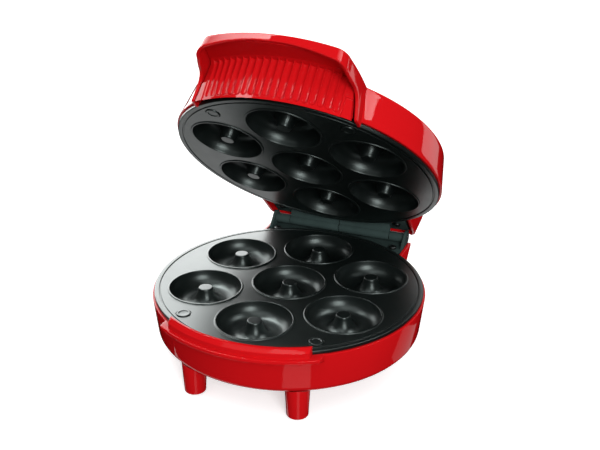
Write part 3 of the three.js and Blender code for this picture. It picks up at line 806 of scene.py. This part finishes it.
def lower_bracket():
    """The tray with its two ears and the collars at the ends of the hinge."""
    low = TRAY_TOP_Z - BRACKET_THICKNESS
    mesh = prism(box_loop(93.5, 115.2, low, TRAY_TOP_Z, 0.5), -EAR_END, EAR_END, 0.4)
    ear_loop = rounded(
        [(97, low), (111.8, low), (HINGE_Y + 2, HINGE_Z - 5.6), (HINGE_Y - 3.5, HINGE_Z + 5)],
        [0.3, 0.3, 0.5, 0.5],
    )
    parts, holes = [], [rod_x(BORE_RADIUS, -EAR_END - 1, EAR_END + 1, HINGE_Y, HINGE_Z)]
    for side in (-1, 1):
        ear = sorted((side * EAR_START, side * EAR_END))
        collar = sorted((side * COLLAR_START, side * (EAR_START + 0.5)))
        parts.append(rod_x(BOSS_RADIUS, *ear, HINGE_Y, HINGE_Z, 0.5, 96))
        parts.append(rod_x(BARREL_RADIUS, *collar, HINGE_Y, HINGE_Z, 0.5, 96))
        parts.append(prism(ear_loop, *ear, 0.3))
        holes.append(rod_z(BORE_RADIUS, side * BRACKET_SCREW_X, LOWER_SCREW_Y, -10, 0, 24))
    return cut(joined(mesh, *parts), *holes)


def upper_bracket():
    """The tongue with its two long barrels."""
    axis_z = HINGE_Z - FACE_GAP
    top = TONGUE_LOW_Z + BRACKET_THICKNESS
    mesh = prism(box_loop(93.5, 114.5, TONGUE_LOW_Z, top, 0.5), -60, 60, 0.4)
    link = rounded(
        [
            (105.2, TONGUE_LOW_Z), (HINGE_Y - 3.2, axis_z + 1.6), (HINGE_Y + 0.5, axis_z + 3.6),
            (107.5, top), (105.2, top),
        ],
        [0, 0, 0, 0.8, 0.3],
    )
    parts, holes = [], [rod_x(BORE_RADIUS, -62, 62, HINGE_Y, axis_z)]
    for side in (-1, 1):
        ends = sorted((side * 0.3, side * BARREL_END))
        parts.append(rod_x(BARREL_RADIUS, *ends, HINGE_Y, axis_z, 0.5, 96))
        parts.append(prism(link, *ends, 0.3))
        holes.append(rod_z(BORE_RADIUS, side * BRACKET_SCREW_X, UPPER_SCREW_Y, 0, 12, 24))
    return cut(joined(mesh, *parts), *holes)


piece("lower_hinge_bracket", lower_bracket(), IN_BASE, "base", enamel)
piece("upper_hinge_bracket", upper_bracket(), IN_LID, "lid", enamel)
piece(
    "hinge_pin", rod_x(PIN_RADIUS, -EAR_END, EAR_END, HINGE_Y, HINGE_Z, 0.4),
    IN_BASE, "base", zinc,
)
for side, x in (("left", -BRACKET_SCREW_X), ("right", BRACKET_SCREW_X)):
    lower = moved(screw_shape(3.2, 1.6, 9), x, LOWER_SCREW_Y, TRAY_TOP_Z + GAP, about_x=180)
    piece(f"lower_hinge_screw_{side}", lower, IN_BASE, "base", blackened)
    upper = moved(screw_shape(3.2, 1.6, 12), x, UPPER_SCREW_Y, TONGUE_LOW_Z - GAP)
    piece(f"upper_hinge_screw_{side}", upper, IN_LID, "lid", blackened)

# ---------------- lid housing

BROW_EDGE = 1.4
LIP_ROUND = 0.6
LIP_INNER_ROUND = 0.4
LOW_LEVEL, HIGH_LEVEL = -1.0, 34.0
CHEEK_END = math.radians(77.2)
CHEEK_HALF_WIDTH = 57.5
CHEEK_NARROWING = 4.3
CHEEK_STRAIGHT_END = -74
CHEEK_RUN = 39
CORNER_RADIUS = 12
CORNER_X = 41.2
BROW_LEAN = 0.0006
HOOD_CORNER = 8.5
HOOD_FOOT_Y, HOOD_FOOT_Z = 119.4, 3.6
HOOD_SLOPE = 12.2 / 20.4
HOOD_BACK = 130.3
HOOD_EDGE = 7.5
DOME_CURVE = 0.00066
DOME_BLEND = 0.5
HANDLE_TOP_Z = 30.3
HANDLE_RISE = 0.067
HANDLE_RISE_START = -79

# Lower edge of the handle's side wall as (y, z), from the drum round the hand opening to the lip.
opening_edge = np.vstack([
    rounded([(-84, -1), (-91.07, -1), (-93, 8)], [0, 1.2, 0], 6, closed=False),
    bend((-93, 8), (-94.5, 18), (-103, 18.2), 16),
    bend((-103, 18.2), (-118, 19.5), (-131.5, 27.6), 16),
])


def drum_radius(z):
    """Radius of the lid's drum, which tapers from its rim to its shoulder."""
    share = (z - LID_RIM_Z) / (LID_SHOULDER_Z - LID_RIM_Z)
    return LID_RIM_RADIUS + (LID_SHOULDER_RADIUS - LID_RIM_RADIUS) * share


def brow_widen(z):
    """Factor by which the handle is wider at height z than at the shoulder."""
    return 1 + BROW_DRAFT * (LID_SHOULDER_Z - z)


def cheek_x(y, z):
    """Half-width of the handle at y."""
    narrow = CHEEK_NARROWING * (np.clip(CHEEK_STRAIGHT_END - y, 0, None) / CHEEK_RUN) ** 2
    return (CHEEK_HALF_WIDTH - narrow) * brow_widen(z)


def brow_line(corner_steps, front_steps):
    """Plan of the handle from the end of its side, round the corner, to the middle of its front."""
    reach = BROW_RADIUS - CORNER_RADIUS
    centre = np.array([CORNER_X, -math.sqrt(reach**2 - CORNER_X**2)])
    meeting = math.asin(CORNER_X / reach)
    turn = np.linspace(CHEEK_END, meeting, corner_steps)
    ahead = np.linspace(meeting, 0, front_steps)[1:]
    corner = centre + CORNER_RADIUS * np.stack([np.sin(turn), -np.cos(turn)], 1)
    return np.vstack([corner, BROW_RADIUS * np.stack([np.sin(ahead), -np.cos(ahead)], 1)])


def half_outline(z):
    """The lid's outline at one height from the middle of the back, round the right side, to the front."""
    radius = drum_radius(z)
    back = HOOD_FOOT_Y + (z - HOOD_FOOT_Z) * HOOD_SLOPE
    corner_x, corner_y = HOOD_HALF_WIDTH - HOOD_CORNER, back - HOOD_CORNER
    points = [(x, back) for x in np.linspace(0, corner_x, 8)]
    for a in np.linspace(0, math.pi / 2, 10)[1:]:
        points.append((corner_x + HOOD_CORNER * math.sin(a), corner_y + HOOD_CORNER * math.cos(a)))
    hood_y = math.sqrt(radius**2 - HOOD_HALF_WIDTH**2)
    points += [(HOOD_HALF_WIDTH, y) for y in np.linspace(corner_y, hood_y, 8)[1:]]
    # Where the handle's side leaves the drum, closed in on from a first guess.
    y = -83.0
    for _ in range(8):
        y = -math.sqrt(radius**2 - cheek_x(y, z) ** 2)
    start, stop = math.atan2(hood_y, HOOD_HALF_WIDTH), math.atan2(y, cheek_x(y, z))
    angles = np.append(np.linspace(start, stop, 80)[1:-1], [stop + 0.5 / radius, stop])
    points += [(radius * math.cos(a), radius * math.sin(a)) for a in angles]
    cheek = [-84.8, -86.2, -87.8, -89.2] + [p[0] for p in opening_edge if -113.5 < p[0] < -89.5]
    points += [(float(cheek_x(y, z)), y) for y in cheek]
    lean = 1 + BROW_LEAN * (LID_SHOULDER_Z - z)
    return np.vstack([points, brow_line(32, 26) * (brow_widen(z), lean)])


def whole(half):
    """The half outline and its mirror image as one loop."""
    left = half[1:-1][::-1] * (-1, 1)
    return np.vstack([half, left])


outline_low, outline_high = whole(half_outline(LOW_LEVEL)), whole(half_outline(HIGH_LEVEL))


def outline_at(z):
    """Plan points of every station, each at its own height."""
    share = ((z - LOW_LEVEL) / (HIGH_LEVEL - LOW_LEVEL))[:, None]
    plan = outline_low + (outline_high - outline_low) * share
    plan[:, 1] = np.minimum(plan[:, 1], HOOD_BACK)
    return plan


def top_z(x, y):
    """Height of the lid's top: a shallow dome that runs into the flat handle and hood."""
    dome = LID_CROWN_Z - DOME_CURVE * (x**2 + y**2)
    flat = HANDLE_TOP_Z - 0.05 + HANDLE_RISE * np.clip(HANDLE_RISE_START - y, 0, None)
    return dome + DOME_BLEND * np.log1p(np.exp((flat - dome) / DOME_BLEND))


def station_heights():
    """Top edge, lower edge and edge rounding of every station."""
    plan = outline_at(np.full(len(outline_low), 28.0))
    x, y = plan.T
    top = top_z(x, y)
    reach = np.hypot(x, y)
    on_brow = (y < -60) & (reach > drum_radius(28.0) + 0.02)
    crease = np.zeros(len(x), bool)
    at = np.argmax(on_brow)
    crease[[at - 1, -(at - 1)]] = True
    hand_edge = np.interp(-y, -opening_edge[:, 0], opening_edge[:, 1])
    low = np.where(on_brow | crease, hand_edge, LID_RIM_Z)
    low[crease] = -1
    low[(y > 100) & (np.abs(x) < 62)] = 4
    round_off = np.where(y > 110, HOOD_EDGE, BROW_EDGE)
    return top, low, round_off


def lid_shell():
    """The moulding from the middle of its top, over the edge, round the lip and back inside."""
    top, low, round_off = station_heights()
    count = len(top)
    level = np.full(count, 16.0)
    plan = outline_at(level)
    mitre = loop_normals(plan)

    def at(z, inward):
        flat = outline_at(z) - mitre * np.broadcast_to(inward, (count,))[:, None]
        return np.column_stack([flat, z])

    edge = at(low, 0)
    tangent = np.roll(edge, -1, 0) - np.roll(edge, 1, 0)
    tangent /= np.linalg.norm(tangent, axis=1)[:, None]
    outward = np.column_stack([mitre / np.linalg.norm(mitre, axis=1)[:, None], np.zeros(count)])
    down = np.cross(outward, tangent)
    down *= -np.sign(np.sum(down[:, 2]))
    down /= np.linalg.norm(down, axis=1)[:, None]
    inward = np.column_stack([-mitre, np.zeros(count)])

    def lip(along, depth):
        return edge + down * along + inward * depth

    rows = []
    rim_plan = outline_at(top) - mitre * round_off[:, None]
    for t in [0.06, 0.14, 0.22, 0.3, 0.38, 0.46, 0.54, 0.6, *np.linspace(0.64, 0.98, 24), 0.992]:
        x, y = (rim_plan * t).T
        rows.append(np.column_stack([x, y, top_z(x, y)]))
    for k in range(6):
        a = math.radians(90 * k / 5)
        z = top - round_off * (1 - math.cos(a))
        rows.append(at(z, round_off * (1 - math.sin(a))))
    upper, lower = rows[-1], lip(-LIP_ROUND, 0)
    rows += [upper + (lower - upper) * f for f in (0.15, 0.3, 0.5, 0.7, 0.85)]
    for a in np.radians([0, 22, 45, 68, 90]):
        rows.append(lip(-LIP_ROUND * (1 - math.sin(a)), LIP_ROUND * (1 - math.cos(a))))
    for a in np.radians([0, 30, 60, 90]):
        rows.append(lip(-LIP_INNER_ROUND * (1 - math.cos(a)), WALL - LIP_INNER_ROUND * (1 - math.sin(a))))
    inner_top = at(top - WALL, WALL + round_off - BROW_EDGE)
    lower = rows[-1]
    rows += [lower + (inner_top - lower) * f for f in (0.3, 0.6, 0.95, 1)]
    for t in np.linspace(0.96, 0.08, 20):
        x, y = (inner_top[:, :2] * t).T
        rows.append(np.column_stack([x, y, top_z(x, y) - WALL]))
    centre = float(top_z(np.zeros(1), np.zeros(1))[0])
    rows = [np.array([[0, 0, centre]]), *rows, np.array([[0, 0, centre - WALL]])]
    return skin(rows, "pole")


def lid_housing():
    """The moulding with the bosses for the tongue's screws and the holes for the lamps."""
    mesh = lid_shell()
    seat_z = TONGUE_LOW_Z + BRACKET_THICKNESS + GAP
    sides = (-1, 1)
    mesh = joined(mesh, *[rod_z(4, s * BRACKET_SCREW_X, UPPER_SCREW_Y, seat_z, 29) for s in sides])
    return cut(
        mesh,
        *[
            rod_z(BOSS_HOLE_RADIUS, s * BRACKET_SCREW_X, UPPER_SCREW_Y, seat_z - 1, 22, 24)
            for s in sides
        ],
        *[rod_z(4.4, s * LAMP_X, LAMP_Y, 20, 40, 64) for s in sides],
    )


piece("lid_housing", lid_housing(), IN_LID, "lid", red_plastic)

# ---------------- handle grip

GRIP_THICKNESS = 2.2
FLUTE_START = 0.4
FLUTE_TOP = 28.2
FLUTE_OVERHANG = 4
RIDGE_SOFTNESS = 0.04
RIDGE_ROWS = 24
PANEL_RISE = 0.7
PANEL_TOP = 13.0
PANEL_EDGE = 0.5
LIP_RADIUS = BROW_RADIUS - WALL - 0.4


def dense(line, step):
    """The polyline with points no further apart than step."""
    out = [line[0]]
    for a, b in zip(line, line[1:]):
        count = max(1, math.ceil(np.linalg.norm(b - a) / step))
        out += [a + (b - a) * k / count for k in range(1, count + 1)]
    return np.array(out)


def brow_room(inset, low):
    """The space inside the handle's walls, for trimming what fits in it."""
    sides = [(CHEEK_HALF_WIDTH, -60), (CHEEK_HALF_WIDTH, CHEEK_STRAIGHT_END)]
    plan = whole(np.vstack([sides, brow_line(16, 24)]))
    plan = plan - loop_normals(plan) * inset
    bottom = np.full(len(plan), low)
    top = HANDLE_TOP_Z + HANDLE_RISE * (HANDLE_RISE_START - plan[:, 1]) - inset
    rows = [np.column_stack([plan[:, 0] * brow_widen(z), plan[:, 1], z]) for z in (bottom, top)]
    return skin(rows, "cap")


def handle_grip():
    """The cover behind the fingers: an upright wall that curves forward, with flutes and end panels."""
    wall_foot, wall_top = (108, -1.8), (109.1, 28.7)
    face = dense(rounded([wall_foot, wall_top, (LIP_RADIUS, 27.5)], [0, 3.5, 0], 8, closed=False), 0.5)
    ahead = np.gradient(face, axis=0)
    ahead /= np.linalg.norm(ahead, axis=1)[:, None]
    behind = np.stack([-ahead[:, 1], ahead[:, 0]], 1)
    back = (face + behind * GRIP_THICKNESS)[::-3]
    # The foot is thinner, so that it clears the base's lip when the lid is shut.
    back[:, 0] = np.maximum(back[:, 0], np.interp(back[:, 1], (0.3, 2), (107.1, 105.8)))
    r, z = face.T
    wall_r = np.interp(z, *zip(wall_foot[::-1], wall_top[::-1]))
    overhang = r - wall_r
    # Each flute is part of a cylinder with a round lower end.
    half = FLUTE_WIDTH / 2
    arc = (half**2 + FLUTE_DEPTH**2) / (2 * FLUTE_DEPTH)
    below = np.clip(FLUTE_START + half - z, 0, None)
    reached = (z < FLUTE_TOP) & (overhang < FLUTE_OVERHANG)
    pitches = FLUTE_COUNT + 8
    angles = np.linspace(-pitches / 2, pitches / 2, pitches * RIDGE_ROWS + 1) * FLUTE_PITCH
    panel_start = (FLUTE_COUNT / 2 + 0.2) * FLUTE_PITCH
    rows = []
    for a in angles:
        nearest = np.clip(round(a / FLUTE_PITCH), -(FLUTE_COUNT // 2), FLUTE_COUNT // 2)
        sideways = wall_r * (a - nearest * FLUTE_PITCH)
        away = np.hypot(sideways, below)
        depth = np.sqrt(np.clip(arc**2 - away**2, 0, None)) - (arc - FLUTE_DEPTH)
        depth = np.where(away < arc, depth, -9)
        depth = RIDGE_SOFTNESS * np.log1p(np.exp(np.clip(depth / RIDGE_SOFTNESS, -40, 40)))
        depth = depth + overhang * np.clip(depth / 0.5, 0, 1)
        depth = np.where(reached, depth, 0)
        beside = np.clip((abs(a) - panel_start) * wall_r / PANEL_EDGE, 0, 1)
        depth = depth - PANEL_RISE * beside * np.clip((PANEL_TOP - z) / PANEL_EDGE, 0, 1)
        around, height = np.vstack([np.column_stack([r - depth, z]), back]).T
        rows.append(np.stack([around * math.sin(a), -around * math.cos(a), height], 1))
    return combined(skin(rows, "cap"), [brow_room(WALL + GAP, -10)], "INTERSECT")


piece("handle_grip", handle_grip(), IN_LID, "lid", red_plastic, angle=40)

# ---------------- lamps


def lens():
    """A domed cap that stands 0.4 proud of the lid, with a flange inside."""
    top = HANDLE_TOP_Z + HANDLE_RISE * (HANDLE_RISE_START - LAMP_Y) + 0.4
    return lathe(
        rounded(
            [
                (0, top), (4, top - 0.3), (4, 28.7), (5.2, 28.7), (5.2, 27.9),
                (3.2, 27.9), (3.2, top - 1.3), (0, top - 1.2),
            ],
            [0, 1, 0, 0.2, 0.2, 0, 0.3, 0], 4, closed=False,
        ),
        64,
    )


for name, x, colour, glass in (
    ("power_lamp_lens", -LAMP_X, "red_lens", red_lens),
    ("ready_lamp_lens", LAMP_X, "green_lens", green_lens),
):
    piece(name, moved(lens(), x, LAMP_Y), IN_LID, "lid", glass)

# ---------------- inner parts keep their CAD shape

carried = {
    "leg_screw_": zinc,
    "lower_shield_screw_": zinc,
    "upper_shield_screw_": zinc,
    "lower_heating_element": element_steel,
    "upper_heating_element": element_steel,
    "lower_heat_shield": shield_sheet,
    "upper_heat_shield": shield_sheet,
    "thermostat_lead": brown_lead,
    "fuse_lead": blue_lead,
    "live_lead": brown_lead,
    "neutral_lead": blue_lead,
    "lid_lead_left": brown_lead,
    "lid_lead_right": blue_lead,
    "thermostat": brass,
    "thermal_fuse": ceramic,
    "terminal_block": ceramic,
    "lamp_board": board_green,
}
for name, node in frame["nodes"].items():
    prefix = next((p for p in carried if name.startswith(p)), None)
    if prefix and not node.hide_render:
        node.data.materials.clear()
        node.data.materials.append(carried[prefix])

# ---------------- stage, light and camera

DOME_LOW = 0.12
DOME_HIGH = 0.92
FLOOR_SIZE = 12
FLOOR_DROP = 0.0002
FLOOR_GLOW = 0.5
FLOOR_GREY = (0.93, 0.93, 0.93)


def plain(name, colour, strength):
    """A dull colour that also glows white."""
    material = bpy.data.materials.new(name)
    material.use_nodes = True
    shader = material.node_tree.nodes["Principled BSDF"]
    shader.inputs["Base Color"].default_value = (*colour, 1)
    shader.inputs["Roughness"].default_value = 0.9
    shader.inputs["Specular IOR Level"].default_value = 0.2
    shader.inputs["Emission Color"].default_value = (1, 1, 1, 1)
    shader.inputs["Emission Strength"].default_value = strength
    return material


def sheet_object(name, centre, across, upward, width, height, material):
    """A flat rectangle about a centre, spanned by two directions."""
    across = Vector(across).normalized() * width / 2
    upward = Vector(upward).normalized() * height / 2
    corners = [Vector(centre) + across * i + upward * j for i, j in ((-1, -1), (1, -1), (1, 1), (-1, 1))]
    mesh = bpy.data.meshes.new(name)
    mesh.from_pydata([c[:] for c in corners], [], [(0, 1, 2, 3)])
    mesh.materials.append(material)
    item = bpy.data.objects.new(name, mesh)
    bpy.context.scene.collection.objects.link(item)
    return item


floor_finish = plain("floor", FLOOR_GREY, FLOOR_GLOW)
floor = sheet_object("floor", (0, 0, -FLOOR_DROP), (1, 0, 0), (0, 1, 0), FLOOR_SIZE, FLOOR_SIZE, floor_finish)
floor.visible_glossy = False
floor.visible_diffuse = False

# A soft dome, brighter above than below. It lights the surfaces but isn't mirrored in them.
world = bpy.data.worlds.new("studio")
bpy.context.scene.world = world
world.use_nodes = True
world.cycles_visibility.glossy = False
sky = world.node_tree
direction = sky.nodes.new("ShaderNodeTexCoord")
split = sky.nodes.new("ShaderNodeSeparateXYZ")
climb = sky.nodes.new("ShaderNodeMapRange")
climb.interpolation_type = "SMOOTHSTEP"
climb.inputs["From Min"].default_value = -0.3
climb.inputs["From Max"].default_value = 0.8
climb.inputs["To Min"].default_value = DOME_LOW
climb.inputs["To Max"].default_value = DOME_HIGH
sky.nodes["Background"].inputs["Color"].default_value = (1, 1, 1, 1)
sky.links.new(direction.outputs["Generated"], split.inputs[0])
sky.links.new(split.outputs["Z"], climb.inputs["Value"])
sky.links.new(climb.outputs["Result"], sky.nodes["Background"].inputs["Strength"])
bpy.context.scene.view_settings.view_transform = "Standard"


def softbox(name, origin, facing, along, reach, breadth, glow, fade=1.0, distance=1.5):
    """A glowing panel that is only seen mirrored in the object.

    facing is its direction from origin and along a direction on it. reach and breadth are the spans of
    tangents that it covers along and across. Its glow at the low end of along is multiplied by fade.
    """
    facing = Vector(facing).normalized()
    along = (Vector(along) - facing * facing.dot(Vector(along))).normalized()
    across = facing.cross(along)
    centre = origin + distance * (facing + along * sum(reach) / 2 + across * sum(breadth) / 2)
    width = distance * (reach[1] - reach[0])
    height = distance * (breadth[1] - breadth[0])
    glowing = plain(name, (0, 0, 0), glow)
    if fade != 1:
        tree = glowing.node_tree
        place = tree.nodes.new("ShaderNodeTexCoord")
        spread = tree.nodes.new("ShaderNodeVectorMath")
        spread.operation = "DOT_PRODUCT"
        shift = tree.nodes.new("ShaderNodeVectorMath")
        shift.operation = "SUBTRACT"
        shift.inputs[1].default_value = centre
        spread.inputs[1].default_value = along / width
        level = tree.nodes.new("ShaderNodeMapRange")
        level.inputs["From Min"].default_value = -0.5
        level.inputs["From Max"].default_value = 0.5
        level.inputs["To Min"].default_value = glow * fade
        level.inputs["To Max"].default_value = glow
        tree.links.new(place.outputs["Object"], shift.inputs[0])
        tree.links.new(shift.outputs["Vector"], spread.inputs[0])
        tree.links.new(spread.outputs["Value"], level.inputs["Value"])
        tree.links.new(level.outputs["Result"], tree.nodes["Principled BSDF"].inputs["Emission Strength"])
    panel = sheet_object(name, centre, along, across, width, height, glowing)
    panel.visible_camera = False
    panel.visible_diffuse = False
    panel.visible_transmission = False
    panel.visible_shadow = False


def heading(azimuth, elevation):
    """Direction with its azimuth counted from the back towards the right."""
    a, e = math.radians(azimuth), math.radians(elevation)
    return Vector((math.sin(a) * math.cos(e), math.cos(a) * math.cos(e), math.sin(e)))


brow_place = IN_LID @ Vector((0, -BROW_RADIUS, 29))
cheek_place = IN_LID @ Vector((60, -100, 25))
drum_place = IN_LID @ Vector((92, -40, 16))
base_place = IN_BASE @ Vector((92, -30, -18))
front_place = IN_BASE @ Vector((40, -90, -18))
high_left, high_left_along = (-0.62, 0.05, 0.78), (0.62, -0.517, 0.59)
high_right, high_right_along = (0.6, 0.15, 0.78), (0.78, 0, -0.6)
rightward, leftward = (1, 0, 0), (-1, 0, 0)
softbox("upper_left", brow_place, high_left, high_left_along, (-0.42, 0.335), (-0.1, 0.2), 38, 0.01)
softbox("ridge_line", brow_place, high_left, high_left_along, (0, 0.25), (-0.35, -0.18), 24)
softbox("upper_right", cheek_place, high_right, high_right_along, (-0.24, 0.14), (-0.2, 0.25), 20, 0.02)
softbox(
    "rear_right", drum_place, heading(31.5, -3.5), (-0.557, 0.341, -0.757),
    (-0.2, 0.28), (-0.15, 0.079), 1, 3.2,
)
softbox("low_right", base_place, heading(30, -37), (1, -0.5, 0), (-0.22, 0.26), (-0.1, 0.1), 0.5)
softbox("low_front", front_place, heading(150, -45), (0.86, 0.5, 0), (-0.16, 0.16), (-0.2, 0.2), 2.2)
softbox("front_high", front_place, (-0.1, -0.6, 0.8), rightward, (-0.4, 0.35), (-0.25, 0.2), 2)
softbox(
    "front_right_high", front_place, (0.14, -0.45, 0.88), rightward,
    (-0.14, 0.2), (-0.08, 0.08), 6, distance=1.3,
)
softbox("rear_left", plate_centre, heading(-43, 27), leftward, (-0.35, 0.8), (-0.5, 0.5), 7.5)
softbox("rear_low_left", plate_centre, heading(-28, -24), (-1, 0.5, 0), (-0.3, 0.3), (-0.12, 0.5), 1)
softbox("rear", plate_centre, heading(-10, 27), leftward, (-0.7, 0.4), (-0.5, 0.5), 1.5, 0.4, 1.8)
softbox("low_left", plate_centre, (-0.5, 0.33, -0.8), (-0.83, -0.56, 0), (-0.6, 0.4), (-0.6, 0.12), 1.4)

# The camera stands to the right of the front, in degrees and metres, and looks past the plate's centre.
AZIMUTH, ELEVATION = 21.89, 23.71
ROLL = math.radians(0.313)
DISTANCE, SIDESTEP, STEP_UP = 0.70055, 0.00815, 0.04324
LENS, SENSOR = 55.24, 36
back = heading(180 - AZIMUTH, ELEVATION)
level = heading(90 - AZIMUTH, 0)
upward = back.cross(level)
right = level * math.cos(ROLL) + upward * math.sin(ROLL)
up = upward * math.cos(ROLL) - level * math.sin(ROLL)
camera_data = bpy.data.cameras.new("camera")
camera_data.lens = LENS
camera_data.sensor_width = SENSOR
camera = bpy.data.objects.new("camera", camera_data)
bpy.context.scene.collection.objects.link(camera)
eye = plate_centre + back * DISTANCE + right * SIDESTEP + up * STEP_UP
camera.matrix_world = Matrix.Translation(eye) @ Matrix((right, up, back)).transposed().to_4x4()
bpy.context.scene.camera = camera


def area_light(name, centre, target, size, power):
    """A round lamp aimed at a place."""
    data = bpy.data.lights.new(name, "AREA")
    data.shape = "DISK"
    data.size = size
    data.energy = power
    item = bpy.data.objects.new(name, data)
    item.location = centre
    item.rotation_mode = "QUATERNION"
    item.rotation_quaternion = (Vector(target) - Vector(centre)).to_track_quat("-Z", "Y")
    bpy.context.scene.collection.objects.link(item)


area_light("key", (1.2, -1.65, 0.9), plate_centre, 1.0, 32)
